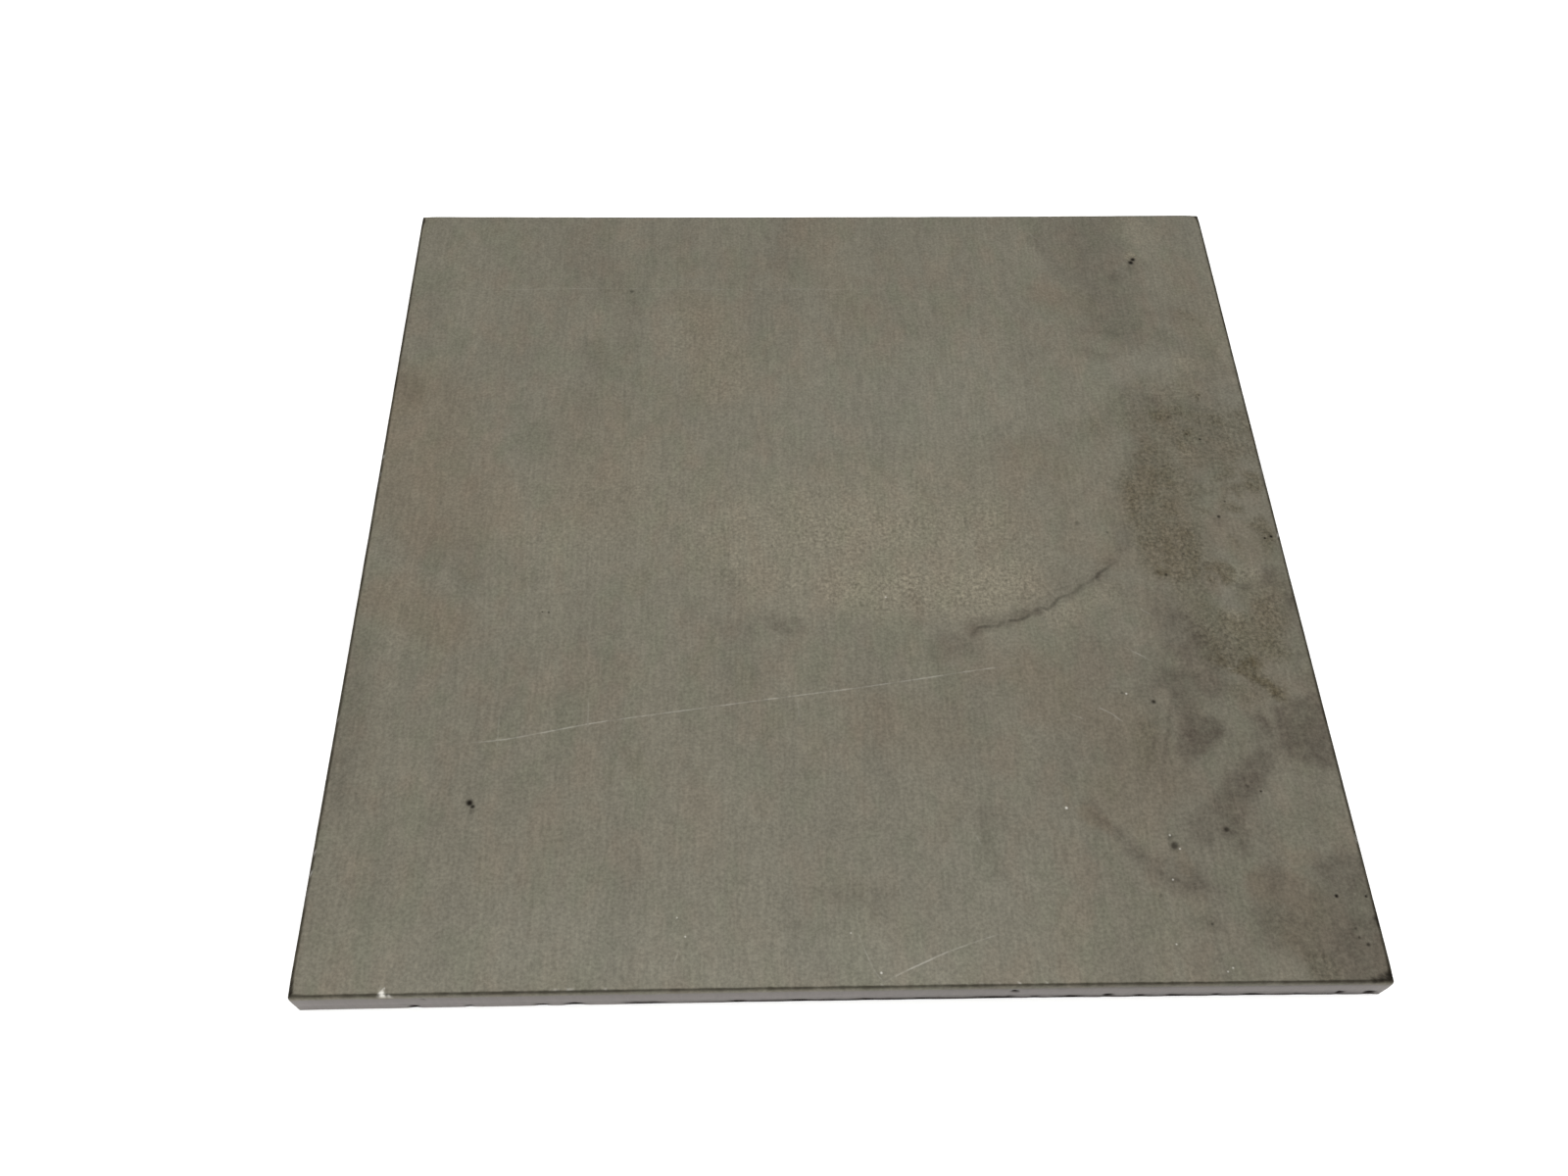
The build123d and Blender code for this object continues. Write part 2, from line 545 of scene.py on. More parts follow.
# The stained side of the plate is its right one. A damp edge has left the tide line, the
# rust and grease lie to the right of it, and the middle has been rubbed paler by handling.
TOP_FACE = RolledFace(
    seed=100,
    warm=(
        Smear(((-12, -3), (8, -4), (26, -5)), 5.0, 11.0, 0.20),
        Smear(((0, 6), (18, 8), (28, 9)), 4.0, 10.0, 0.13),
        Smear(((4, -11), (18, -12), (30, -10)), 2.0, 5.0, 0.20),
        Smear(((-44, 4), (-25, 9)), 5.0, 12.0, 0.12),
        Smear(((-22, 46), (-17, 34)), 3.0, 6.0, 0.16),
        Smear(((36, -16.5), (46, -11)), 0.8, 2.0, 0.20),
        Smear(((59.5, 72), (63, 70)), 1.5, 3.0, 0.16),
        Smear(((59.8, 64),), 0.5, 1.0, 0.40),
        Smear(((60, 30), (66, 31)), 1.0, 2.5, 0.12),
        Smear(((65, 37.5), (68, 36)), 0.8, 1.8, 0.22),
        Smear(((68.8, -7.8), (66, -9)), 0.8, 1.0, 0.25),
        Smear(((64, -16), (63.6, -19)), 0.6, 1.4, 0.30),
        Smear(((62, 17.4), (62.8, 16.2)), 0.4, 0.8, 0.35),
        Smear(((56.8, -6.6), (57.2, -7.6)), 0.2, 0.6, 0.40),
    ),
    flush=(
        Smear(((-70, 26), (-67, 12), (-62, 6)), 5.0, 10.0, 0.32),
        Smear(((-73, 35), (-72, 28)), 1.0, 3.5, 0.25),
        Smear(((-70, -12), (-60, -17)), 1.5, 6.0, 0.36),
        Smear(((-40, 24), (-38, 8)), 3.0, 9.0, 0.16),
        Smear(((-20, 44), (-17, 34), (-19, 30)), 1.5, 6.0, 0.18),
        Smear(((-1, 74), (1, 64), (6, 48)), 0.8, 5.0, 0.22),
        Smear(((-24, 52), (-19, 50)), 1.5, 4.0, 0.24),
        Smear(((42, 53.5), (48, 51.5)), 1.5, 3.5, 0.24),
        Smear(((36, 16), (41, 12), (43, 4)), 1.0, 6.0, 0.20),
        Smear(((41, -2), (48, -5)), 1.4, 2.5, 0.22),
        Smear(((31, -26), (34, -32)), 1.5, 5.0, 0.28),
        Smear(((43, -36), (46, -42), (43, -47)), 3.0, 5.0, 0.30),
        Smear(((33.1, -45.3), (33, -48.4)), 0.2, 0.8, 0.30),
        Smear(((36, -49.5), (38.5, -51.5)), 0.5, 1.2, 0.35),
        Smear(((48.8, -56.2), (49.2, -59.2)), 0.3, 1.0, 0.30),
        Smear(((54.6, 12), (54.4, 8)), 1.2, 1.2, 0.30),
        Smear(((66, 0), (69, -3)), 2.4, 2.0, 0.20),
        Smear(((64.5, -56.6), (68, -56.6)), 0.5, 1.2, 0.24),
        Smear(((69, 60), (71, 44), (70, 34)), 2.0, 5.0, 0.10),
        Smear(((60, -61), (64, -62)), 1.8, 2.0, 0.30),
        Smear(((64, -69), (67, -65)), 1.5, 2.5, 0.25),
        Smear(((6, -34), (14, -37)), 2.0, 6.0, 0.18),
    ),
    pale=(
        Smear(((4, 27), (16, 29), (27, 31)), 5.0, 11.0, 0.20),
        Smear(((-58, -70), (-30, -67), (-5, -65), (18, -64)), 4.0, 11.0, 0.20),
        Smear(((-45, -67), (-30, -69), (-12, -72), (12, -73)), 1.0, 6.0, 0.20),
        Smear(((-22, -50), (5, -48), (25, -52)), 4.0, 10.0, 0.12),
        Smear(((51, 35), (60, 37.5)), 1.4, 2.6, 0.22),
        Smear(((48.6, 17), (47.6, 11), (47, 6)), 1.0, 1.8, 0.12),
        Smear(((69.4, -7.4), (65.5, -10), (63.8, -12.4), (64, -14.6)), 0.7, 1.2, 0.20),
        Smear(((59.4, -31.6), (57, -34)), 0.3, 1.0, 0.20),
        Smear(((62, -42),), 0.3, 0.6, 0.30),
        Smear(((62.8, -47.3),), 0.2, 0.6, 0.20),
        Smear(((44, -48), (49, -51)), 1.5, 3.5, 0.08),
        Smear(((57.5, 29.8),), 0.4, 0.9, 0.24),
        Smear(((57, -60), (57.4, -64)), 0.4, 1.2, 0.16),
        Smear(((73, 32), (72.8, 24), (73, 15)), 0.8, 3.0, 0.34),
        Smear(((68, 29), (67.6, 23)), 0.6, 2.4, 0.16),
        Smear(((54.6, 29), (55, 23)), 0.8, 2.2, 0.16),
        Smear(((73, 73), (73, 58)), 0.8, 3.0, 0.20),
        Smear(((43.6, 8), (43.8, -2)), 1.0, 2.8, 0.16),
        Smear(((1, 58), (2, 48)), 1.5, 4.0, 0.10),
    ),
    rust=(
        Stain(((52.6, 21.5), (53.8, 19.6), (52, 15), (50, 10), (49.8, 4), (50.4, -4), (51, -8.5), (55, -9.8),
               (60, -9.2), (62.2, -6), (62.6, 2), (62.8, 9), (63.4, 13), (69, 12.4), (71, 14), (74.9, 14),
               (74.9, 25.4), (66, 25.8), (61, 26.6), (56, 26.4), (52.8, 24.4)), 3.6, 0.25),
        Stain(((52.6, 26), (52.8, 29), (54.6, 31), (56.8, 32.8), (59, 32.8), (61, 31.2),
               (62.4, 27)), 2.9, 0.09),
        Stain(((51, 9.6), (54, 13), (57, 12.8), (60, 8), (60.5, -8.4), (56.5, -9.4), (51.2, -7),
               (50.2, 2)), 2.6, 0.16),
        Stain(((57, 33), (53, 30.2), (49, 27.2), (45, 25), (40.6, 22.6), (42, 20.4), (47, 20.8),
               (52, 20.6), (55, 26)), 3.2, 0.10),
        Smear(((52, 8.8), (51.8, 2), (52, -3)), 0.7, 0.9, 0.12),
        Smear(((58, 15.6), (58, 9)), 0.6, 0.8, 0.15),
        Smear(((55.2, 18.8), (56, 16.6)), 0.5, 0.8, 0.18),
        Smear(((55.8, 1), (56, -3), (56.6, -6)), 0.7, 0.8, 0.16),
        Smear(((53.8, -7.9), (54.8, -7.9)), 0.6, 0.7, 0.44),
        Smear(((59.2, -0.5), (59.2, -4), (59.6, -8)), 0.8, 0.9, 0.18),
        Smear(((55, 2.6), (54.4, 0.6)), 0.6, 0.8, 0.10),
        Smear(((52, -5.4), (55, -5.2)), 0.3, 0.7, 0.10),
        Smear(((57, 5.6), (58.2, 3.8)), 0.6, 0.8, 0.10),
        Smear(((59, 24.8), (62.2, 25.6)), 0.8, 1.0, 0.26),
        Smear(((58, 23.4), (60.5, 21), (64, 20.4)), 1.0, 1.6, 0.11),
        Smear(((63, 20.4),), 0.4, 0.7, 0.26),
        Smear(((61.9, 17.9),), 0.6, 0.8, 0.26),
        Smear(((54, 15.6), (55, 14.6)), 0.5, 0.9, 0.12),
        Smear(((65.4, 24), (68, 23.8)), 0.9, 1.2, 0.16),
        Smear(((69, 22), (73, 20.6), (71, 17)), 1.0, 1.6, 0.06),
        Smear(((72.4, 25.4), (73.6, 25.4)), 0.5, 0.8, 0.14),
        Smear(((62, 8.4), (65, 8.4)), 0.8, 1.2, 0.16),
        Smear(((62.8, 4.9), (63.8, 4.4)), 0.3, 0.6, 0.20),
        Smear(((66.2, 4.2), (66.8, 6.4)), 0.3, 0.6, 0.20),
        Smear(((67.8, 5), (69, 4.2)), 0.5, 0.7, 0.34),
        Smear(((66.2, 10.8), (68.6, 12.2)), 0.4, 0.8, 0.24),
        Smear(((67.4, 8.4), (69.2, 9.6), (69.6, 7)), 0.4, 0.8, 0.30),
        Stain(((70.4, 12.2), (73.4, 11.8), (73.8, 8.4), (72.4, 7), (70.6, 8.6)), 1.6, 0.38),
        Smear(((71.8, 8.6), (73, 8.4)), 0.5, 0.7, 0.24),
        Stain(((69.6, 1), (71.6, 2.6), (73.2, 1.4), (73.8, -0.8), (72.8, -3.8), (71.4, -3.8),
               (71, -0.6)), 1.6, 0.42),
        Smear(((67.3, -2.4), (67.6, -3.2)), 0.3, 0.6, 0.26),
        Smear(((65.8, -0.6), (66.4, -1.6)), 0.2, 0.6, 0.16),
        Smear(((61.8, -8.2), (62, -10.2)), 0.4, 0.6, 0.26),
        Smear(((63.2, -7.2), (64.8, -7.6), (64.4, -9.4)), 0.8, 0.9, 0.46),
        Stain(((56, -9.6), (61, -10.4), (62, -16), (66.4, -15), (66, -11.6), (69, -10.6), (72.6, -10.2),
               (73.2, -16), (70.8, -20), (70.4, -25), (66.6, -24.6), (64, -25.4), (61, -26.4), (58.6, -25),
               (56.4, -20), (55.4, -14)), 3.6, 0.29),
        Stain(((61.4, -19.4), (64, -19.6), (68.6, -18.6), (68.4, -24), (64, -24.4), (61, -24.6)), 2.9, 0.13),
        Stain(((58.4, -18), (60.6, -19.6), (60.8, -24.8), (59.4, -25.6), (58.4, -23)), 2.2, 0.22),
        Stain(((61.2, -26.8), (63.2, -25.8), (65, -24.4), (66.7, -24.4), (66.5, -26.5), (66.2, -29),
               (65, -29), (64, -28), (62.5, -27.6)), 1.2, 0.66),
        Smear(((59.6, -24.8), (61.4, -26)), 0.5, 0.8, 0.24),
        Smear(((67, -28.8), (68.6, -30.2)), 0.6, 1.0, 0.56),
        Stain(((66.6, -14), (70.4, -13), (71, -24), (68.6, -25.4), (67.6, -20)), 3.6, 0.21),
        Smear(((60.6, -30.6), (65, -32.4)), 1.0, 2.4, 0.10),
        Smear(((46.6, -37), (46.2, -40.5)), 0.9, 1.6, 0.12),
        Smear(((66.6, 48.6), (69, 47.4)), 0.4, 1.0, 0.16),
        Smear(((68.5, 47), (68.8, 38)), 1.2, 2.4, 0.06),
        Stain(((61.4, -15.4), (65.6, -15.4), (65.8, -19), (61.4, -19)), 2.4, 0.13),
        Smear(((65.4, -9.2), (69.6, -8.2)), 0.8, 1.4, 0.10),
        Smear(((61, -66.4), (64.4, -66)), 1.4, 2.4, 0.13),
        Smear(((66.6, 29.4),), 0.4, 0.7, 0.34),
        Smear(((48.6, 3), (48.2, 12), (47.8, 21)), 1.0, 3.0, 0.12),
        Smear(((62.6, -30.4), (68.4, -29)), 1.0, 1.8, 0.13),
        Smear(((64.8, 31.8),), 0.4, 0.9, 0.16),
        Smear(((63.6, 29), (66.6, 27.4)), 1.6, 2.2, 0.12),
        Stain(((63.4, -71), (67, -71), (67, -74.6), (63.6, -74.4)), 1.8, 0.30),
    ),
    grease=(
        # Painted shade: this wide, faint band darkens the front third of the face, where the dome lights it
        # more brightly
        Smear(((-75, -45), (-30, -44), (10, -44), (50, -44)), 14.0, 18.0, 0.085),
        Smear(((21, -28), (24, -45)), 4.0, 8.0, 0.05),
        Smear(((36, 12), (35, 0)), 5.0, 9.0, 0.06),
        Smear(((46, -12), (44, -28), (41, -42)), 5.0, 8.0, 0.09),
        Smear(((39, -60), (39, -72)), 3.0, 8.0, 0.06),
        Smear(((39, 20), (44, 19.6)), 1.0, 2.6, 0.08),
        Smear(((39.6, -24), (45.4, -23.6)), 1.4, 2.4, 0.09),
        Smear(((31.6, -12), (37, -8.2)), 1.0, 2.4, 0.11),
        Smear(((54, 39.8), (65, 39.8)), 1.0, 2.0, 0.07),
        Smear(((60.4, 61.4), (60.2, 58)), 1.2, 2.2, 0.13),
        Smear(((62.6, 53), (65, 51.4)), 1.2, 2.2, 0.12),
        Smear(((46.4, 44), (49, 44)), 1.2, 1.8, 0.09),
        Stain(((56, 31), (62, 32), (74.9, 28), (74.9, -74.9), (48, -74.9), (50, -62), (46, -52), (46, -34),
               (49.6, -22), (50.4, -10), (49.4, 4), (51, 14), (53.6, 24)), 5.0, 0.13),
        Stain(((41, 75.5), (58.4, 75.5), (58.8, 66), (58, 60), (60, 54), (61.4, 47), (60, 41.6), (55, 40),
               (50, 43), (48.6, 50), (47, 57), (44.6, 62.6), (42.4, 67.4)), 4.6, 0.18),
        Smear(((42, 68), (44.5, 62.5), (47, 57.6)), 0.8, 1.4, 0.12),
        Smear(((51, 70), (52.5, 58), (54.6, 46)), 1.5, 4.0, 0.09),
        Stain(((49, 50), (50, 44.6), (53, 43.4), (55, 41), (58.6, 40.6), (59.4, 45), (57, 47)), 2.9, 0.09),
        Smear(((56.3, 58.4),), 0.6, 1.4, 0.28),
        Smear(((59.5, 60),), 0.5, 1.4, 0.16),
        Smear(((61, 49.2), (65, 48.2)), 0.6, 1.6, 0.16),
        Stain(((61.4, 45), (63.6, 45), (64.2, 42), (62.4, 41), (61.2, 42.6)), 2.2, 0.20),
        Smear(((48.2, 38.8), (50.8, 38.2)), 0.7, 1.2, 0.20),
        Smear(((46.2, 40.4), (48.4, 40.6)), 0.6, 1.2, 0.12),
        Smear(((49.5, 44), (52.6, 44.2)), 0.6, 1.2, 0.12),
        Smear(((70.8, 40.6), (70.8, 38)), 0.3, 0.9, 0.16),
        Smear(((51, 26.6), (49.6, 23)), 0.6, 1.6, 0.08),
        Stain(((56.8, 28.4), (58.4, 28.2), (59.2, 30), (60, 28), (58.8, 26.4), (57, 26.8)), 1.3, 0.26),
        Smear(((48.4, 1.4), (48.2, -2.4)), 0.7, 1.2, 0.14),
        Smear(((45.5, -10), (48, -12)), 0.8, 2.0, 0.10),
        Smear(((65.3, 2.4), (65.1, 1.4)), 0.3, 0.7, 0.30),
        Stain(((50.4, -12), (54.6, -12), (56.4, -16), (52.6, -17), (50.6, -15.4)), 2.9, 0.20),
        Stain(((52, -15.4), (56.6, -15), (57.4, -19), (57.2, -23), (52.6, -24), (52, -20)), 2.9, 0.32),
        Stain(((56, -18.6), (59, -19.2), (59.6, -26.8), (54.6, -27.2), (54, -23.4), (56, -22)), 2.5, 0.28),
        Stain(((55.2, -27), (60, -26.8), (59.6, -30.4), (56, -30.4)), 2.2, 0.40),
        Stain(((51.6, -26.6), (54.4, -26.8), (55, -33.8), (52.2, -33.8), (50.8, -31)), 2.5, 0.38),
        Stain(((46.6, -30.4), (51, -25.8), (52.2, -26), (51.8, -27.8), (48, -30.4)), 1.8, 0.40),
        Stain(((52.6, -34), (57, -34), (58.2, -34.6), (59.3, -35.6), (58.4, -37.2), (56.6, -39.2),
               (53.6, -41.4), (52, -42.4), (51.4, -41.6), (51.9, -38)), 1.4, 0.50),
        Stain(((53.8, -37.2), (57.8, -37), (56.6, -38.9), (54.6, -40.2), (53.4, -39.6)), 1.4, 0.20),
        Stain(((63.2, -34.2), (65.4, -34), (65.6, -37.4), (63.6, -37.8)), 1.8, 0.52),
        Stain(((67.3, -32.3), (74.9, -31.3), (74.9, -41.6), (69, -41.9), (67.2, -39),
               (66.6, -35.6)), 1.8, 0.50),
        Smear(((68.4, -33.4), (68.8, -38.6)), 0.8, 1.2, 0.14),
        Stain(((62.2, -37.6), (66.4, -36.4), (67.6, -41), (64, -40.4)), 2.5, 0.27),
        Stain(((60.2, -40.6), (63.6, -40.3), (64.9, -42.6), (63.4, -44.4), (62.2, -46.4), (60.5, -47.6),
               (59.2, -49), (58.7, -50.6), (58.3, -52.6), (57.4, -53.6), (55.2, -53.4), (54.2, -51.4),
               (55, -50), (53.2, -48.8), (54.2, -47.2), (56.2, -46.4), (57.6, -44),
               (59.4, -42.6)), 1.6, 0.46),
        Smear(((59.4, -47), (57.4, -50), (56.6, -52.6)), 0.8, 1.6, 0.14),
        Stain(((56, -53.4), (59.3, -53), (59.2, -55), (58.2, -56.6), (56.2, -55.6)), 1.6, 0.38),
        Stain(((50.4, -50.4), (53.4, -49), (54.4, -51.4), (53.8, -54.8), (51.4, -54.6)), 2.3, 0.35),
        Stain(((70.4, -10.4), (70.6, -7.4), (73, -6.8), (73.6, -9.4), (72, -10.6)), 1.6, 0.38),
        Smear(((73.2, -12), (73.4, -28)), 1.2, 1.8, 0.17),
        Smear(((74, -13.2), (74, -14.6)), 0.4, 0.6, 0.44),
        Smear(((50.4, -60.2), (52, -61.2)), 0.5, 1.2, 0.20),
        Smear(((34.1, -41), (33.9, -44.2)), 0.2, 1.0, 0.14),
        Smear(((50.6, -65.6), (52.2, -67.2)), 0.5, 0.9, 0.20),
        Stain(((57, -64.6), (58, -60), (62, -58.4), (66, -60.6), (67.6, -57.4), (74.9, -57.2), (74.9, -74.9),
               (63, -74.6), (61.6, -71.4), (57.6, -70)), 3.6, 0.27),
        Stain(((67.6, -57.6), (73.8, -57.6), (74.4, -62), (70, -61.8), (68.4, -60.6)), 2.5, 0.20),
        Stain(((66, -61.8), (74.4, -62), (74.4, -66), (66.4, -66)), 2.9, 0.10),
        Stain(((57, -64.8), (59.6, -65), (59.6, -69.6), (57.6, -69.6)), 1.8, 0.10),
        Stain(((63, -68), (66.8, -66.8), (67.4, -71.2), (63.4, -71)), 2.2, 0.14),
        Stain(((67, -66.6), (74.6, -66.2), (74.6, -74.6), (68, -74)), 3.0, 0.30),
        Smear(((21.8, -50), (21, -54), (23, -58.5)), 0.4, 1.6, 0.14),
        Smear(((-21, -15), (-16, -19), (-12, -17)), 0.6, 3.4, 0.09),
        Smear(((18.6, -20.6), (16.8, -22.3)), 0.9, 1.8, 0.17),
        Smear(((13.3, -12), (14.2, -17)), 0.4, 1.5, 0.20),
        Smear(((-16, -8), (-15, -11)), 0.5, 2.2, 0.16),
        Smear(((-43, 73), (-42, 62), (-38, 56)), 2.0, 5.0, 0.12),
        Smear(((-5, 73), (-6, 62)), 1.0, 4.0, 0.07),
        Smear(((-20, 66), (-8, 58)), 4.0, 8.0, 0.05),
        Smear(((-64, -2), (-57, -6)), 2.0, 6.0, 0.12),
        Smear(((-74, -22), (-73, -34), (-73, -46)), 1.0, 6.0, 0.16),
        Smear(((-74, 33), (-71, 31)), 0.6, 3.4, 0.14),
        Smear(((-41, 41), (-39, 37)), 1.0, 3.0, 0.16),
        Smear(((-35, 52), (-34, 40)), 0.6, 2.8, 0.12),
        Smear(((0, -61), (6, -63)), 0.8, 3.0, 0.12),
    ),
    tides=(
        Smear(((46.3, -6.3), (43.2, -8.8), (39.6, -11.4), (35.7, -13.8), (33, -15.1)), 0.20, 0.80, 0.16),
        Smear(((33, -15), (30.2, -16.8), (26.8, -17.5), (24.6, -18.0), (22.7, -18.6), (21.9, -20),
               (21.6, -21.8)), 0.20, 0.80, 0.16),
        Smear(((50.4, 1.6), (48.4, -3.4), (45.4, -6.6)), 0.5, 1.2, 0.16),
        Smear(((45.8, -6.2), (39, -11), (33.4, -14.2), (28, -16.6), (22.4, -18)), 0.5, 1.5, 0.17),
        Smear(((33, -14.6), (29, -16.4), (25.4, -17.8), (22.4, -19)), 0.5, 0.9, 0.24),
        Smear(((27, -16.8), (24, -17.6), (21.5, -19.4), (19.6, -23)), 0.6, 1.6, 0.19),
        Smear(((-8.4, -17), (-5.2, -17.6)), 0.9, 1.4, 0.38),
        Smear(((36.9, -48.1), (37.4, -50.3), (39.4, -52.6), (41.3, -54.8), (43, -56.4), (44.7, -57.8),
               (46.9, -58.9), (49.1, -60.3)), 0.50, 1.20, 0.30),
        Smear(((38.6, -51.6), (40.4, -53.4), (42, -55)), 0.50, 0.90, 0.20),
        Smear(((45.6, -58.2), (47.4, -59.2), (49.6, -60.2)), 0.80, 2.60, 0.46),
        Smear(((51.2, -32.6), (50.4, -36), (49.6, -39), (48.6, -42), (47.6, -44.6)), 0.16, 0.44, 0.34),
        Smear(((47.6, -38), (46.6, -41.2), (46.1, -43.8)), 0.12, 0.44, 0.26),
        Smear(((66, -10.8), (68, -10.8), (70.2, -10.4), (71.2, -9)), 0.30, 0.60, 0.34),
    ),
    scratches=(
        # The dark line along the upper edge of the arc
        Scratch(((46.8, -5.9), (45.3, -7.1), (43.8, -8.1), (43.3, -8.8), (42.1, -9.7), (41.7, -10),
                 (40.3, -10.7), (39.6, -11.5), (38.7, -12.1), (36.8, -12.8), (35.7, -13.9),
                 (34.6, -15), (34, -14.7), (32.4, -15.1), (31.4, -16.2), (29.8, -16.9),
                 (28.4, -17), (27.7, -17.6), (26.9, -17.3), (26.4, -18), (24.6, -18),
                 (23.1, -18.3), (22.4, -19.2), (21.9, -20.6)),
                0.13, darkness=0.40, depth=0.0, pitch=0.2),
        # The long score across the front, and the shorter ones
        Scratch(((-57, -37.6), (-50, -37), (-44, -35.9), (-36, -34.3), (-28, -33.1), (-18, -31.7),
                 (-8, -30.3), (2, -29), (12, -27.5), (22, -25.9), (30, -24.8)), 0.055, 0.155),
        Scratch(((5.2, -74), (8, -72.6), (11, -71.3), (14, -70), (17.5, -68.8), (21.3, -67.6)), 0.055, 0.19),
        Scratch(((2, -67), (2.6, -69), (4, -72.4), (5.2, -74)), 0.050, 0.10),
        Scratch(((-58, 55.2), (-44, 55.5), (-30, 55.4), (-16, 55.2), (-2, 55.2), (9, 54.8)), 0.055, 0.06),
        Scratch(((41, 70), (43.3, 67.2), (45, 64.4)), 0.080, 0.05),
        Scratch(((40.2, -32.5), (42, -33.6), (43.4, -34.9)), 0.060, 0.13),
        Scratch(((35.6, -33.5), (37.7, -34.5)), 0.060, 0.20),
        Scratch(((46.5, -22.4), (49.3, -24.3)), 0.060, 0.20),
        Scratch(((49.2, -14.8), (51, -16.3)), 0.060, 0.12),
        Scratch(((19.6, -53), (20.3, -54.6)), 0.070, 0.20),
        Scratch(((-22, -67.4), (-22.6, -69), (-23.4, -71.4)), 0.050, 0.06),
        Scratch(((-50.4, -33), (-50.2, -38.4)), 0.060, 0.05),
        Scratch(((-37.2, -29.4), (-37, -35)), 0.060, 0.05),
        Scratch(((-5.6, -30.4), (-5, -36)), 0.060, 0.05),
        Scratch(((-44, -12), (-43.6, -23)), 0.060, 0.04),
        Scratch(((61.2, -25.9), (62.4, -26.1)), 0.080, 0.12),
    ),
    pits=(
        Pit(-53.4, -47.0, 0.52, darkness=1.0, depth=0.12),
        Pit(-52.9, -47.6, 0.34, darkness=0.9, depth=0.08),
        Pit(-53.0, -48.4, 0.46, darkness=0.40, depth=0.03),
        Pit(-34.0, 54.8, 0.35, darkness=0.50),
        Pit(59.7, 61.9, 0.50, darkness=1.0, depth=0.10),
        Pit(60.2, 62.7, 0.46, darkness=1.0, depth=0.08),
        Pit(48.8, -31.6, 0.34, darkness=0.85),
        Pit(56.0, -52.5, 0.40, darkness=0.75),
        Pit(48.0, -54.9, 0.62, darkness=0.72, depth=0.10),
        Pit(47.7, -53.6, 0.50, darkness=0.35),
        *(Pit(x, y, radius, dark) for x, y, radius, dark in (
            (65.3, 2.9, 0.32, 0.8), (66.9, 6.0, 0.20, 0.6), (73.2, -1.2, 0.26, 1.0),
            (72.1, -1.5, 0.22, 0.9), (69.6, -62.7, 0.28, 1.0), (73.8, -62.8, 0.22, 0.9),
            (62.2, -46.6, 0.20, 0.8), (60.4, -45.8, 0.32, 0.5), (54.6, -8.5, 0.28, 0.7),
            (58.1, -4.5, 0.20, 0.5), (65.1, 19.3, 0.22, 0.7), (63.0, 20.4, 0.20, 0.5),
            (41.5, 1.7, 0.45, 0.30), (46.3, -0.1, 0.20, 0.4), (-44.3, -14.7, 0.15, 0.7),
            (-45.3, -14.6, 0.13, 0.7), (66.8, 29.3, 0.30, 0.3), (72.4, -69.7, 0.28, 0.7),
            (71.4, -68.7, 0.22, 0.6), (71.2, -67.4, 0.20, 0.5), (51.3, -66.5, 0.20, 0.5),
            (44.8, -62.3, 0.28, 0.3), (60.5, 24.2, 0.30, 0.4), (13.0, -9.8, 0.15, 0.5),
            (-9.0, -2.2, 0.18, 0.3),
        )),
        Pit(33.2, -48.9, 0.20, brightness=0.6, depth=0.03),
        Pit(44.8, -30.2, 0.16, brightness=0.45, depth=0.03),
        Pit(44.2, -30.0, 0.22, darkness=0.35, depth=0.03),
        Pit(-62.3, -74.5, 0.36, brightness=1.0, depth=0.06),
        Pit(-62.0, -73.9, 0.15, brightness=0.6, depth=0.03),
        Pit(74.2, -74.1, 0.75, darkness=0.90, depth=0.02),
        Pit(73.1, -74.4, 0.55, darkness=0.75, depth=0.02),
        Pit(72.1, -74.6, 0.40, darkness=0.60, depth=0.02),
        Pit(74.4, -66.0, 0.42, darkness=0.80, depth=0.03),
        Pit(74.5, -66.9, 0.38, darkness=0.80, depth=0.03),
        Pit(74.3, 74.2, 0.45, darkness=0.80, depth=0.02),
        Pit(-74.5, 73.2, 0.45, darkness=0.70, depth=0.02),
        Pit(-74.6, -74.3, 0.55, darkness=0.75, depth=0.02),
        Pit(-74.6, -73.2, 0.40, darkness=0.65, depth=0.02),
        *(Pit(x, y, radius, brightness=bright, depth=0.03) for x, y, radius, bright in (
            (47.6, -53.3, 0.14, 0.45), (48.7, -55.4, 0.14, 0.45), (9.0, -12.4, 0.14, 0.45),
            (45.8, -69.3, 0.13, 0.40), (53.0, -72.7, 0.13, 0.40), (52.2, -73.2, 0.13, 0.40),
            (-23.0, -64.6, 0.13, 0.35), (-21.8, -67.3, 0.13, 0.40), (1.0, -67.1, 0.13, 0.30),
            (4.9, -72.7, 0.16, 0.55), (46.9, -60.0, 0.14, 0.40),
        )),
    ),
)

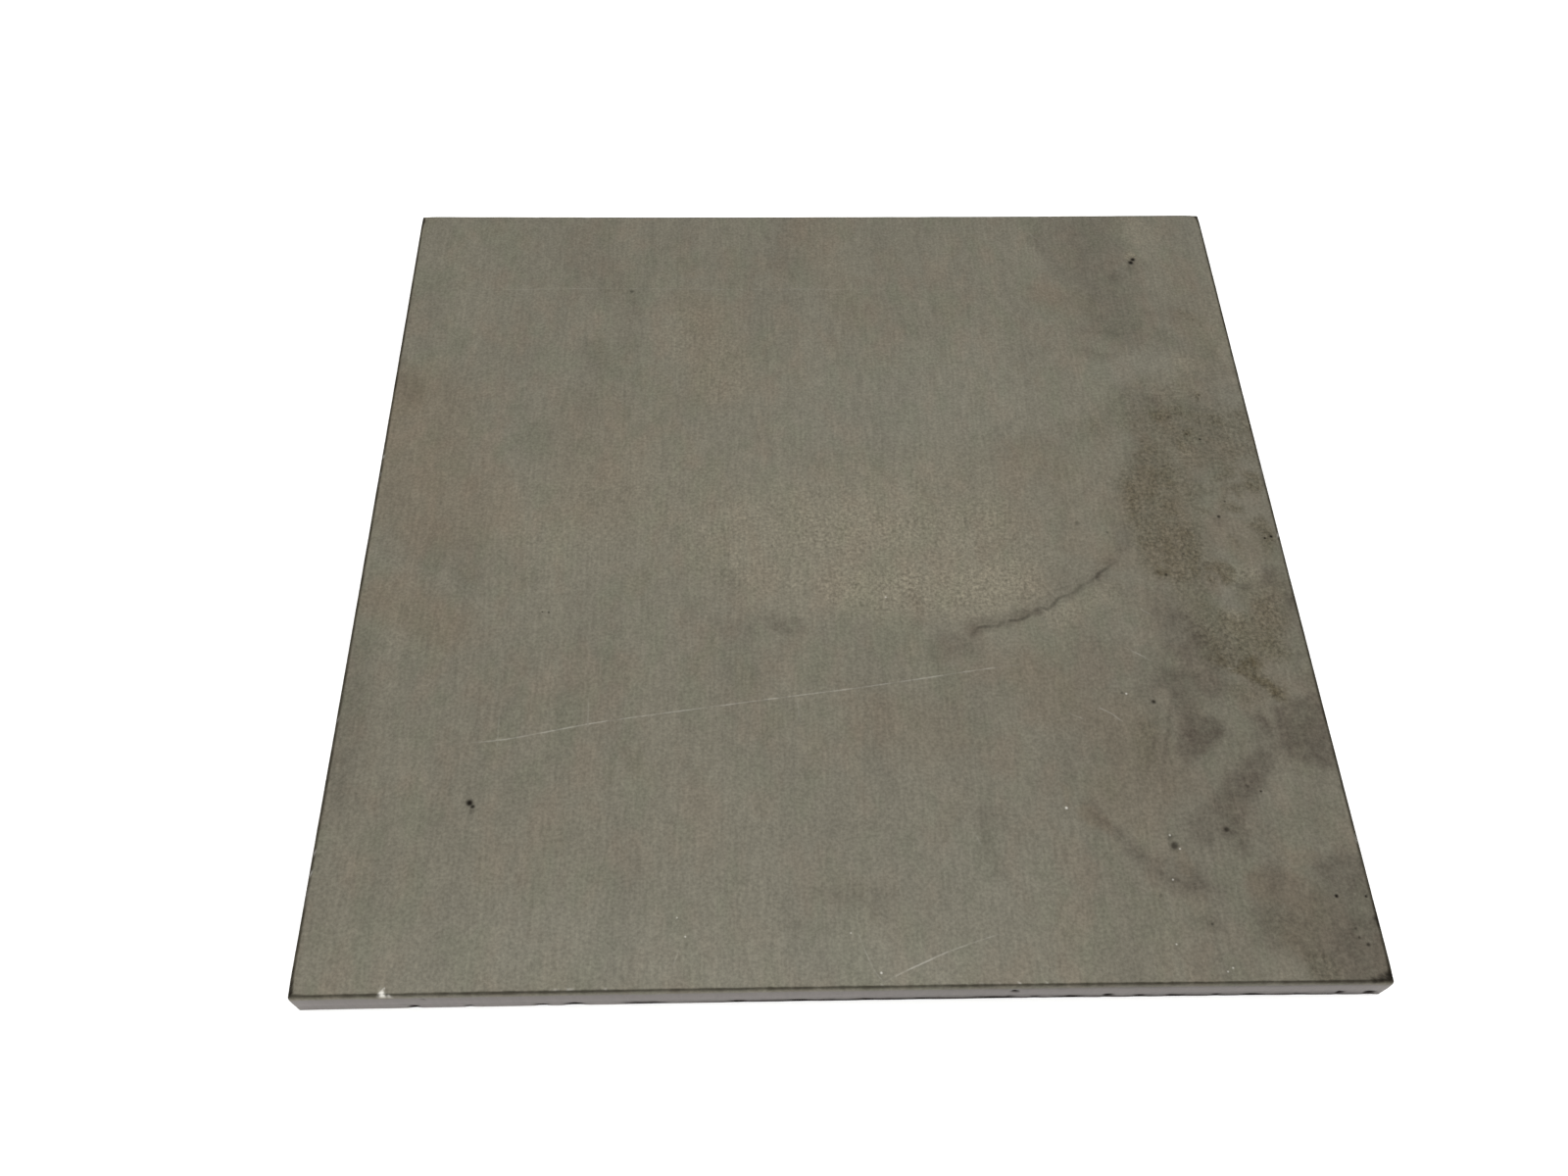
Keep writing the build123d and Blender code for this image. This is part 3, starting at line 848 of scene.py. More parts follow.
# The underside has lain on benches and other plates, so it is scuffed along its length.
UNDERSIDE = RolledFace(
    seed=300,
    warm=(Smear(((-40, 10), (0, 20), (35, 5)), 10.0, 14.0, 0.18),),
    flush=(
        Smear(((50, 40), (62, 20)), 6.0, 8.0, 0.35),
        Smear(((-60, -40), (-50, -55)), 5.0, 8.0, 0.30),
    ),
    pale=(Smear(((-70, 60), (-20, 64), (30, 58)), 4.0, 9.0, 0.22),),
    rust=(
        Smear(((60, -66), (70, -60), (73, -48)), 3.0, 5.0, 0.35),
        Smear(((-30, -20), (-24, -26)), 2.0, 4.0, 0.22),
        Smear(((-72, 70), (-66, 73)), 1.5, 4.0, 0.30),
    ),
    grease=(
        Smear(((10, 40), (30, 46), (44, 40)), 2.0, 5.0, 0.22),
        Smear(((-55, 5), (-48, -10), (-50, -22)), 2.5, 5.0, 0.20),
    ),
    tides=(Smear(((-14, -48), (2, -41), (18, -44), (26, -55)), 0.15, 0.60, 0.34),),
    scratches=(
        Scratch(((-48, -60), (-44, -20), (-46, 30)), 0.080, 0.20, pitch=0.8),
        Scratch(((12, -66), (16, -30), (13, 8)), 0.080, 0.24, pitch=0.8),
        Scratch(((30, 62), (38, 30)), 0.080, 0.18, pitch=0.8),
        Scratch(((-20, 50), (10, 30), (44, 22)), 0.070, 0.16, pitch=0.8),
    ),
    pits=(
        Pit(-12.0, 33.0, 0.40, darkness=0.8),
        Pit(41.0, -21.0, 0.35, darkness=0.7),
        Pit(57.0, -58.0, 0.45, darkness=0.9),
    ),
    grid_pitch=1.5,
)


# The sheared edge


@dataclass(frozen=True)
class Nick:
    """A dented spot on the sheared edge, darker or brighter, placed on the rim and up the section."""

    x: float
    y: float
    height: float
    half_width: float
    half_height: float
    depth: float = 0.08
    darkness: float = 0.0
    brightness: float = 0.0


# The near edge's nicks: two bright knocks by its left corner, and then the dark ones, most of
# them along the foot, where the longest darken it over much of the edge's length. Each row is
# a nick's place along the edge, its height on the section, half its width and half its height,
# its depth, and how bright or dark it is.
FRONT_NICKS = (
    *(Nick(x, -75, height, wide, tall, depth, brightness=bright) for x, height, wide, tall, depth, bright in (
        (-62.3, 5.70, 0.42, 0.60, 0.20, 1.0), (-61.4, 5.45, 0.36, 0.45, 0.12, 0.40),
    )),
    *(Nick(x, -75, height, wide, tall, depth, darkness=dark) for x, height, wide, tall, depth, dark in (
        (23.2, 3.8, 0.55, 0.48, 0.15, 1.0), (-57.0, 4.4, 0.32, 0.30, 0.06, 0.5),
        (-58.9, 0.6, 0.75, 0.85, 0.12, 1.0), (-51.4, 0.5, 0.60, 0.70, 0.10, 0.8),
        (-41.5, 0.5, 1.00, 0.80, 0.10, 0.9), (-37.0, 0.5, 1.40, 0.90, 0.12, 1.0),
        (-27.2, 0.3, 3.20, 1.15, 0.03, 0.85), (6.0, 0.3, 27.0, 1.00, 0.03, 0.82),
        (51.0, 0.3, 25.0, 1.00, 0.03, 0.70), (-14.6, 0.3, 1.60, 1.08, 0.03, 1.0),
        (-6.0, 0.3, 2.20, 1.04, 0.03, 1.0), (3.4, 0.3, 1.40, 1.08, 0.03, 1.0),
        (10.5, 0.3, 2.00, 1.04, 0.03, 1.0), (21.0, 0.3, 3.30, 1.30, 0.03, 1.0),
        (26.4, 0.3, 0.90, 1.15, 0.05, 1.0), (31.0, 0.3, 2.60, 1.12, 0.03, 1.0),
        (41.0, 0.3, 1.20, 1.12, 0.04, 1.0), (46.0, 0.3, 1.80, 1.04, 0.03, 1.0),
        (51.6, 0.3, 0.90, 1.15, 0.04, 1.0), (57.0, 0.3, 2.20, 1.06, 0.03, 1.0),
        (63.4, 0.3, 1.10, 1.12, 0.04, 1.0), (18.0, 0.4, 16.0, 2.40, 0.02, 0.12),
        (58.0, 0.3, 18.0, 2.20, 0.02, 0.20), (48.0, 5.10, 34.0, 0.50, 0.02, 0.18),
        (36.5, 1.0, 0.80, 0.90, 0.12, 1.0), (68.8, 1.0, 0.60, 0.90, 0.12, 1.0),
        (73.0, 1.1, 0.90, 0.90, 0.12, 1.0),
    )),
)


@dataclass(frozen=True)
class ShearedEdge:
    """The cut section, from the rim of the top face down and under to the underside.

    Sizes are in millimetres and angles in degrees. A tuple of four holds one value for
    each side. The strength of a mark runs from 0 to 1.
    """

    roll_over_inset: float = 0.5
    roll_over_depth: float = 1.1
    burnished_land: float = 1.9
    break_lean: float = 1.5
    lower_radius: float = 0.2
    corner_radius: float = 0.35
    corner_droop: float = 0.18
    droop_reach: float = 1.5
    bows: tuple = (0.19, 0.13, 0.30, 0.16)
    # The painted shade over the roll-over, one value a side: the angle where it begins, how many degrees it
    # takes to come in, and its peak
    drawn_from: tuple = (90.0, 96.0, 90.0, 96.0)
    drawn_turns: tuple = (24.0, 6.0, 18.0, 6.0)
    drawn_peaks: tuple = (0.83, 1.0, 0.75, 1.0)
    lip: float = 0.28
    lip_angle: float = 96.0
    tear: float = 0.35
    rag: float = 0.30
    drawn_rag: float = 0.45
    break_grit: float = 0.05
    side_stations: tuple = (440, 240, 240, 240)
    corner_stations: int = 5
    roll_over_rows: int = 8
    land_rows: int = 6
    break_rows: int = 10
    foot_rows: int = 4
    # How the painted shade over the roll-over thins below its peak and wavers along the rim
    drawn_least: float = 0.32
    drawn_thins: tuple = (18.0, 60.0)
    drawn_level: float = 0.88
    drawn_swing: float = 0.26
    land_shade: float = 0.30
    land_shade_reach: float = 0.9
    roll_over_waver: float = 0.10
    break_tears_in: float = 0.25
    foot_tear: float = 0.3
    least_corner: float = 0.15
    crest_shine: float = 0.30
    nicks: tuple = FRONT_NICKS
    hidden_nicks_seed: int = 77
    hidden_nicks_per_side: int = 7

    def stations(self) -> tuple[np.ndarray, np.ndarray, np.ndarray, np.ndarray]:
        """Lay out the stations round the rim, anticlockwise from the front left corner.

        A rim of half size a and corner radius r passes through (a - r) C + r D at each
        station, where D is the outward direction. On a straight side C runs from corner
        to corner, and on a corner it stays still while D turns by a right angle. The front
        side, which is seen from nearest, has the most stations.

        Returns:
            C and D, one station in each row, each station's distance from the nearest
            corner as a share of half a side, and the number of its side.
        """
        turn = np.linspace(0, np.pi / 2, self.corner_stations + 2)[1:-1]
        centres, outs, shares = [], [], []
        for quarter, count in enumerate(self.side_stations):
            t = np.linspace(-1, 1, count)
            out = np.array([np.sin(quarter * np.pi / 2), -np.cos(quarter * np.pi / 2)]).round()
            along = np.array([-out[1], out[0]])
            centres += [t[:, None] * along + out, np.tile(along + out, (len(turn), 1))]
            outs += [np.tile(out, (len(t), 1)), np.cos(turn)[:, None] * out + np.sin(turn)[:, None] * along]
            shares += [1 - np.abs(t), np.zeros(len(turn))]
        side = np.repeat(np.arange(4), np.array(self.side_stations) + len(turn))
        return np.concatenate(centres), np.concatenate(outs), np.concatenate(shares), side

    def all_nicks(self, half: np.ndarray) -> list[Nick]:
        """Add some nicks of the same kind to the lower edge of the three other sides.

        Each side gets a few nicks at random, and one long soft one that darkens its foot.

        Args:
            half: half the plate along X and along Y, in millimetres.

        Returns:
            The front side's nicks and then the added ones.
        """
        rng = np.random.default_rng(self.hidden_nicks_seed)
        nicks = list(self.nicks)
        for out in ((1, 0), (0, 1), (-1, 0)):
            for along in rng.uniform(-0.97, 0.97, self.hidden_nicks_per_side):
                x, y = (o * half[axis] if o else along * half[axis] for axis, o in enumerate(out))
                wide, tall, dark = rng.uniform(0.3, 0.9), rng.uniform(0.3, 0.5), rng.uniform(0.4, 0.9)
                nicks.append(Nick(x, y, 0.4, wide, tall, depth=0.1, darkness=dark))
            x, y = (o * half[axis] for axis, o in enumerate(out))
            nicks.append(Nick(x + 20 * out[1], y + 20 * out[0], 0.3, 26.0, 0.6, depth=0.03, darkness=0.35))
        return nicks

    def section(self, inset: np.ndarray, depth: np.ndarray, land_top: np.ndarray,
                land_foot: np.ndarray, side: np.ndarray, rag: np.ndarray) -> tuple[np.ndarray, ...]:
        """Work out the cut section at every station, from the top down.

        A first row lies a little way in on the flat face, and gives the dark line a soft
        start. The roll-over is a quarter of an ellipse, the land a straight upright line,
        the break a straight line that leans in, and the foot a quarter circle.

        The painted shade is a dark line over the roll-over, where the section's angle
        goes from 90 degrees at the face to 0 at the land. It begins at its side's own
        angle and is full a turn further down. Below that it thins out to its least
        between two angles, and it ends softly on the land.

        Args:
            inset: how far the roll-over reaches in over the face, per station.
            depth: how far the roll-over reaches down, per station.
            land_top: the height of the land's top, per station.
            land_foot: the height of the land's foot, per station.
            side: the number of the side, per station.
            rag: how far the dark line's ends stray, as a share of their width, per station.

        Returns:
            How far in each point lies, its height, how torn the metal is there and how
            much painted shade it carries, as rows by stations.
        """
        lean = np.tan(np.radians(self.break_lean))
        level = 0 * inset
        angle = np.linspace(90, 0, self.roll_over_rows + 1)[:, None]
        part = np.linspace(0, 1, self.land_rows + 1)[1:, None]
        fall = np.linspace(0, 1, self.break_rows + 1)[1:, None]
        turn = np.linspace(0, np.pi / 2, self.foot_rows + 1)[1:, None]
        break_height = land_foot + (self.lower_radius - land_foot) * fall
        break_inward = (land_foot - break_height) * lean
        inward = np.concatenate([
            inset[None] + self.lip,
            inset * (1 - np.cos(np.radians(angle))),
            level * part,
            break_inward,
            break_inward[-1] + self.lower_radius * (1 - np.cos(turn)),
        ])
        height = np.concatenate([
            (land_top + depth)[None],
            land_top + depth * np.sin(np.radians(angle)),
            land_top + (land_foot - land_top) * part,
            break_height,
            level + self.lower_radius * (1 - np.sin(turn)),
        ])
        torn = np.concatenate([
            level[None],
            level * angle,
            level * part,
            level + np.minimum(1, fall / self.break_tears_in),
            level + self.foot_tear * np.cos(turn),
        ])
        # Painted shade: a dark line over the roll-over, fading out on the top of the land
        peak, turned = np.array(self.drawn_peaks)[side], np.array(self.drawn_turns)[side]
        angle = np.concatenate([[[self.lip_angle]], angle])
        begun = smoothstep((np.array(self.drawn_from)[side] - angle) / turned + rag)
        low, high = self.drawn_thins
        full = smoothstep((angle - low) / (high - low) + rag / 2)
        drawn = np.concatenate([
            peak * begun * (self.drawn_least + (1 - self.drawn_least) * full),
            peak * self.land_shade * (1 - smoothstep(part / self.land_shade_reach)),
            np.zeros((len(fall) + len(turn), len(inset))),
        ])
        return inward, height, torn, drawn

    def band(self, half: np.ndarray, thickness: float,
             dip: Callable) -> tuple[np.ndarray, dict[Mark, np.ndarray]]:
        """Carry the cut section round the rim.

        A side bows inwards by its bow times 1 - t^2, with t from -1 to 1 along it. The
        roll-over grows towards the corners by a bell curve and wavers by soft noise. The
        land ends at a torn line, which is soft noise too, and finer noise roughens the
        break. A nick falls off as the fourth power of the distance over its size, and
        noise strays it up and down, so that the foot's dark dashes end raggedly. Where
        two more noises are high, short painted highlights lie on the roll-over's upper rows.

        Args:
            half: half the plate along X and along Y, in millimetres.
            thickness: the plate's thickness, in millimetres.
            dip: the top face's depth below the full thickness, as a function of x and y.

        Returns:
            The points as rows by stations by 3, and the edge's own marks on them.
        """
        centre, out, share, side = self.stations()
        bow = np.array(self.bows)[side] * (1 - (1 - share) ** 2)
        around = np.cumsum(np.linalg.norm(np.diff(centre, axis=0, prepend=centre[-1:]), axis=1)) * half[0]
        droop = self.corner_droop * np.exp(-((share * half[0] / self.droop_reach) ** 2))
        inset = (self.roll_over_inset + droop) * (1 + self.roll_over_waver * SoftNoise(31, 5.0, 3).at(around))
        depth = (self.roll_over_depth + droop) * (1 + self.roll_over_waver * SoftNoise(32, 4.0, 3).at(around))
        torn_line = self.tear * SoftNoise(33, 9.0, 4).at(around)
        land_foot = thickness - self.roll_over_depth - self.burnished_land + torn_line
        rag = self.drawn_rag * SoftNoise(39, 0.9, 3).at(around)
        inward, height, torn, drawn = self.section(inset, depth, thickness - depth, land_foot, side, rag)
        grit = 0.5 + 0.5 * SoftNoise(34, 0.9, 3).at(around[None], height + 3)
        inward = inward + self.break_grit * torn * grit
        radius = np.clip(self.corner_radius - inward, self.least_corner, None)[..., None]
        place = (half - inward[..., None] - radius) * centre + (radius - bow[:, None]) * out
        dark, bright = np.zeros(height.shape), np.zeros(height.shape)
        ragged = height + self.rag * SoftNoise(38, 1.4, 3).at(around)
        for nick in self.all_nicks(half):
            gap = np.hypot(place[..., 0] - nick.x, place[..., 1] - nick.y) / nick.half_width
            fall = np.exp(-(gap**4) - ((ragged - nick.height) / nick.half_height) ** 4)
            place = place - (nick.depth * fall)[..., None] * out
            dark = np.maximum(dark, nick.darkness * fall)
            bright = np.maximum(bright, nick.brightness * fall)
        # Painted highlights: short bright dashes on the roll-over's upper rows
        crest = smoothstep(SoftNoise(35, 0.8, 2).at(around) * 4 - 1.6)
        crest = crest * smoothstep(SoftNoise(36, 14.0, 2).at(around) * 3)
        bright[1:3] = np.maximum(bright[1:3], self.crest_shine * crest)
        # The painted shade wavers along the rim
        drawn = drawn * (self.drawn_level + self.drawn_swing * SoftNoise(37, 1.3, 3).at(around))
        upper = np.clip((height - thickness + depth) / depth, 0, 1)
        height = height - upper * dip(place[..., 0].ravel(), place[..., 1].ravel()).reshape(height.shape)
        marks = {Mark.DRAWN: drawn, Mark.PIT: dark, Mark.BARE: bright}
        return np.concatenate([place, height[..., None]], axis=-1), marks


# The plate


# Delaunay's settings: triangles inside the rim only, and how near two points count as one
INSIDE_ONLY = 1
MERGE_GAP = 1e-6


def fill(rim: np.ndarray, inner: np.ndarray) -> np.ndarray:
    """Join a closed rim and the points inside it with triangles, by Delaunay's rule.

    Args:
        rim: the rim's points in order, anticlockwise, one in each row.
        inner: the points inside the rim, one in each row.

    Returns:
        The triangles, as indices into the rim followed by the inner points.
    """
    points = [Vector(point) for point in np.concatenate([rim, inner])]
    edges = [(index, (index + 1) % len(rim)) for index in range(len(rim))]
    _, _, faces, origins, _, _ = delaunay_2d_cdt(points, edges, [], INSIDE_ONLY, MERGE_GAP)
    return np.array([origin[0] for origin in origins])[np.array(faces)]


def make_mesh(name: str, points: np.ndarray, quads: np.ndarray, triangles: np.ndarray,
              zones: np.ndarray) -> bpy.types.Mesh:
    """Put points and faces into a new mesh with smooth faces.

    Args:
        name: the mesh's name.
        points: the points in metres, one in each row.
        quads: the four-sided faces, as indices.
        triangles: the three-sided faces, as indices.
        zones: the material index of each face, quads first.

    Returns:
        The mesh.
    """
    mesh = bpy.data.meshes.new(name)
    loops = np.concatenate([quads.ravel(), triangles.ravel()]).astype(np.int32)
    sizes = np.concatenate([np.full(len(quads), 4), np.full(len(triangles), 3)])
    starts = np.concatenate([[0], np.cumsum(sizes)[:-1]]).astype(np.int32)
    mesh.vertices.add(len(points))
    mesh.vertices.foreach_set("co", points.astype(np.float32).ravel())
    mesh.loops.add(len(loops))
    mesh.loops.foreach_set("vertex_index", loops)
    mesh.polygons.add(len(sizes))
    mesh.polygons.foreach_set("loop_start", starts)
    mesh.polygons.foreach_set("material_index", zones.astype(np.int32))
    mesh.polygons.foreach_set("use_smooth", np.ones(len(sizes), bool))
    mesh.update(calc_edges=True)
    mesh.validate()
    return mesh


@dataclass
class SteelPlate:
    """The whole plate as one closed skin."""

    low: np.ndarray
    high: np.ndarray
    top: RolledFace = TOP_FACE
    underside: RolledFace = UNDERSIDE
    edge: ShearedEdge = field(default_factory=ShearedEdge)
    fade_foot: float = 1.2
    fade_height: float = 1.0
    name: str = "plate_skin"

    def build(self) -> bpy.types.Object:
        """Make the skin's mesh and hang its marks on its points.

        The points are the edge's band, row by row, then the top's inner points and then
        the underside's. The band's first row is the top's rim and its last the underside's.

        Returns:
            The finished object, at the origin.
        """
        half = (self.high - self.low)[:2] / 2
        thickness = self.high[2] - self.low[2]
        band, edge_marks = self.edge.band(half, thickness, self.top.dip)
        rows, stations = band.shape[:2]
        upper = self.top.points(*(half - self.edge.roll_over_inset))
        lower = self.underside.points(*(half - self.edge.roll_over_inset))
        top_faces = fill(band[0, :, :2], upper)
        low_faces = fill(band[-1, :, :2], lower)
        points = np.concatenate([
            band.reshape(-1, 3),
            np.column_stack([upper, thickness - self.top.dip(upper[:, 0], upper[:, 1])]),
            np.column_stack([lower, self.underside.dip(lower[:, 0], lower[:, 1])]),
        ])

        ring = np.arange(stations)
        after = (ring + 1) % stations
        row = np.arange(rows - 1)[:, None] * stations
        quads = np.stack([row + ring, row + stations + ring, row + stations + after, row + after], -1)
        top_faces = np.where(top_faces < stations, top_faces, top_faces + (rows - 1) * stations)
        low_shift = np.where(low_faces < stations, (rows - 1) * stations, (rows - 1) * stations + len(upper))
        low_faces = (low_faces + low_shift)[:, ::-1]
        rolled = np.arange(rows - 1) <= self.edge.roll_over_rows
        zones = np.concatenate([
            np.repeat(np.where(rolled, Zone.ROLLED.value, Zone.SHEARED.value), stations),
            np.full(len(top_faces) + len(low_faces), Zone.ROLLED.value),
        ])
        faces = np.concatenate([top_faces, low_faces])
        mesh = make_mesh(self.name, points * MM, quads.reshape(-1, 4), faces, zones)
        self.attach_marks(mesh, points, edge_marks, rows * stations, len(upper))
        plate = bpy.data.objects.new(self.name, mesh)
        bpy.context.scene.collection.objects.link(plate)
        return plate

    def attach_marks(self, mesh: bpy.types.Mesh, points: np.ndarray,
                     edge_marks: dict[Mark, np.ndarray], band_size: int, top_size: int) -> None:
        """Store each mark as an attribute of the mesh.

        The top's marks run over the rim and fade down the roll-over. The underside has
        its own. The edge's own marks are added where they are the stronger.

        Args:
            mesh: the skin's mesh.
            points: all its points, in millimetres.
            edge_marks: the edge's own marks.
            band_size: how many points the edge has.
            top_size: how many points the top has inside its rim.
        """
        thickness = self.high[2] - self.low[2]
        above = self.top.marks(*points[: band_size + top_size, :2].T)
        below = self.underside.marks(*points[band_size + top_size :, :2].T)
        height = points[: band_size + top_size, 2] - thickness
        fade = smoothstep((height + self.fade_foot) / self.fade_height)
        for mark in Mark:
            values = np.zeros(len(points))
            if mark in above:
                values[: band_size + top_size] = above[mark] * fade
                values[band_size + top_size :] = below[mark]
            if mark in edge_marks:
                values[:band_size] = np.maximum(values[:band_size], edge_marks[mark].ravel())
            layer = mesh.attributes.new(mark.value, "FLOAT", "POINT")
            layer.data.foreach_set("value", values.astype(np.float32))

    def dress(self, plate: bpy.types.Object, rolled: bpy.types.Material,
              sheared: bpy.types.Material) -> None:
        """Give the skin its two finishes, in the order of their zones."""
        plate.data.materials.append(rolled)
        plate.data.materials.append(sheared)


# Finishes


def linear(colour: str) -> tuple[float, float, float, float]:
    """Turn an sRGB hex colour such as 7a7568 into linear light, with full opacity."""
    channels = [int(colour[i : i + 2], 16) / 255 for i in (0, 2, 4)]
    return (*(c / 12.92 if c <= 0.04045 else ((c + 0.055) / 1.055) ** 2.4 for c in channels), 1.0)


def add_node(tree: bpy.types.NodeTree, kind: str, inputs: dict | None = None, **settings) -> bpy.types.Node:
    """Add a node to a tree, with its settings, values and links.

    Args:
        tree: the node tree.
        kind: the node's type.
        inputs: for each input socket's identifier, a value or the socket to link from.
        **settings: the node's own properties.

    Returns:
        The node.
    """
    node = tree.nodes.new(kind)
    for name, value in settings.items():
        setattr(node, name, value)
    for name, value in (inputs or {}).items():
        socket = next(s for s in node.inputs if s.identifier == name)
        if isinstance(value, bpy.types.NodeSocket):
            tree.links.new(value, socket)
        else:
            socket.default_value = value
    return node


def output(node: bpy.types.Node, name: str) -> bpy.types.NodeSocket:
    """Find a node's output socket by its identifier."""
    return next(socket for socket in node.outputs if socket.identifier == name)


@dataclass(frozen=True)
class Pattern:
    """A cloudy pattern in the steel, with the size of its spots along X, Y and Z in millimetres."""

    size: tuple
    low: float
    high: float
    detail: float = 2.0
    roughness: float = 0.5
    shift: float = 0.0

    def wire(self, tree: bpy.types.NodeTree) -> bpy.types.NodeSocket:
        """Add the pattern's nodes: the object's own coordinates, stretched to the spot size.

        Args:
            tree: the material's node tree.

        Returns:
            The socket that gives the pattern, from 0 at low to 1 at high.
        """
        place = add_node(tree, "ShaderNodeTexCoord").outputs["Object"]
        spots = add_node(tree, "ShaderNodeMapping", {
            "Vector": place,
            "Scale": tuple(1 / (MM * size) for size in self.size),
            "Location": (self.shift, self.shift, self.shift),
        })
        cloud = add_node(tree, "ShaderNodeTexNoise", {
            "Vector": spots.outputs[0], "Scale": 1.0, "Detail": self.detail, "Roughness": self.roughness})
        spread = add_node(tree, "ShaderNodeMapRange", {
            "Value": cloud.outputs["Fac"], "From Min": self.low, "From Max": self.high})
        return spread.outputs[0]


@dataclass(frozen=True)
class Layer:
    """A tint laid over the steel as far as a pattern or a mark says, times an amount."""

    tint: str
    share: bpy.types.NodeSocket
    amount: float = 1.0


@dataclass(frozen=True)
class Steel:
    """What the two finishes have in common: bare steel with tints laid over it."""

    name: str
    base: str
    roughness: float
    relief_strength: float = 0.5

    def start(self) -> tuple[bpy.types.Material, bpy.types.NodeTree]:
        """Make an empty material, and give it and its node tree."""
        material = bpy.data.materials.new(self.name)
        material.use_nodes = True
        material.node_tree.nodes.clear()
        return material, material.node_tree

    def mark(self, tree: bpy.types.NodeTree, mark: Mark) -> bpy.types.NodeSocket:
        """Read one of the skin's marks."""
        return add_node(tree, "ShaderNodeAttribute", attribute_name=mark.value).outputs["Fac"]

    def tinted(self, tree: bpy.types.NodeTree, colour: bpy.types.NodeSocket | tuple,
               layers: list[Layer]) -> bpy.types.NodeSocket:
        """Lay tints over a colour, the first one lowest.

        Args:
            tree: the material's node tree.
            colour: the colour underneath, as a socket or in linear light.
            layers: the tints.

        Returns:
            The socket that gives the tinted colour.
        """
        for layer in layers:
            share = add_node(tree, "ShaderNodeMath", {"Value": layer.share, "Value_001": layer.amount},
                             operation="MULTIPLY", use_clamp=True)
            mix = add_node(tree, "ShaderNodeMix", {
                "Factor_Float": share.outputs[0], "A_Color": colour, "B_Color": linear(layer.tint)},
                data_type="RGBA")
            colour = output(mix, "Result_Color")
        return colour

    def swing(self, tree: bpy.types.NodeTree, pattern: bpy.types.NodeSocket,
              depth: float) -> bpy.types.NodeSocket:
        """Turn a pattern into a factor from 1 - depth to 1 + depth."""
        spread = {"Value": pattern, "To Min": 1 - depth, "To Max": 1 + depth}
        return add_node(tree, "ShaderNodeMapRange", spread).outputs[0]

    def grained(self, tree: bpy.types.NodeTree, colour: bpy.types.NodeSocket, pattern: bpy.types.NodeSocket,
                depth: float, share: bpy.types.NodeSocket | float = 1.0) -> bpy.types.NodeSocket:
        """Darken and brighten the colour by a pattern, which leaves its hue as it is.

        The colour is multiplied by a factor that runs from 1 - depth at the pattern's low
        end to 1 + depth at its high end.

        Args:
            tree: the material's node tree.
            colour: the socket that gives the colour.
            pattern: the socket that gives the pattern.
            depth: how strong the grain is.
            share: how much of it is used.

        Returns:
            The socket that gives the grained colour.
        """
        mix = add_node(tree, "ShaderNodeMix", {
            "Factor_Float": share, "A_Color": colour, "B_Color": self.swing(tree, pattern, depth)},
            data_type="RGBA", blend_type="MULTIPLY")
        return output(mix, "Result_Color")

    def close(self, tree: bpy.types.NodeTree, colour: bpy.types.NodeSocket, relief: bpy.types.NodeSocket,
              relief_height: float, dirt: bpy.types.NodeSocket) -> None:
        """Add the shader, with its colour, roughness and fine relief.

        The metal shows only where nothing covers it: the dark pits and nicks on the sheared
        face, and the painted rim shade on the rolled skin. What covers it is dull, and so has
        no sheen of its own.

        Args:
            tree: the material's node tree.
            colour: the socket that gives the colour.
            relief: the pattern that stands for the relief.
            relief_height: the height of the relief, in millimetres.
            dirt: the mark that tells how far the metal is covered, by dark pits and nicks on the sheared face
                and by the painted rim shade on the rolled skin.
        """
        bump = add_node(tree, "ShaderNodeBump", {
            "Height": relief, "Strength": self.relief_strength, "Distance": relief_height * MM})
        metal = add_node(tree, "ShaderNodeMapRange", {"Value": dirt, "To Min": 1.0, "To Max": 0.0}).outputs[0]
        shader = add_node(tree, "ShaderNodeBsdfPrincipled", {
            "Base Color": colour, "Metallic": metal, "Roughness": self.roughness,
            "Specular IOR Level": 0.0, "Normal": bump.outputs[0]})
        add_node(tree, "ShaderNodeOutputMaterial", {"Surface": shader.outputs[0]})


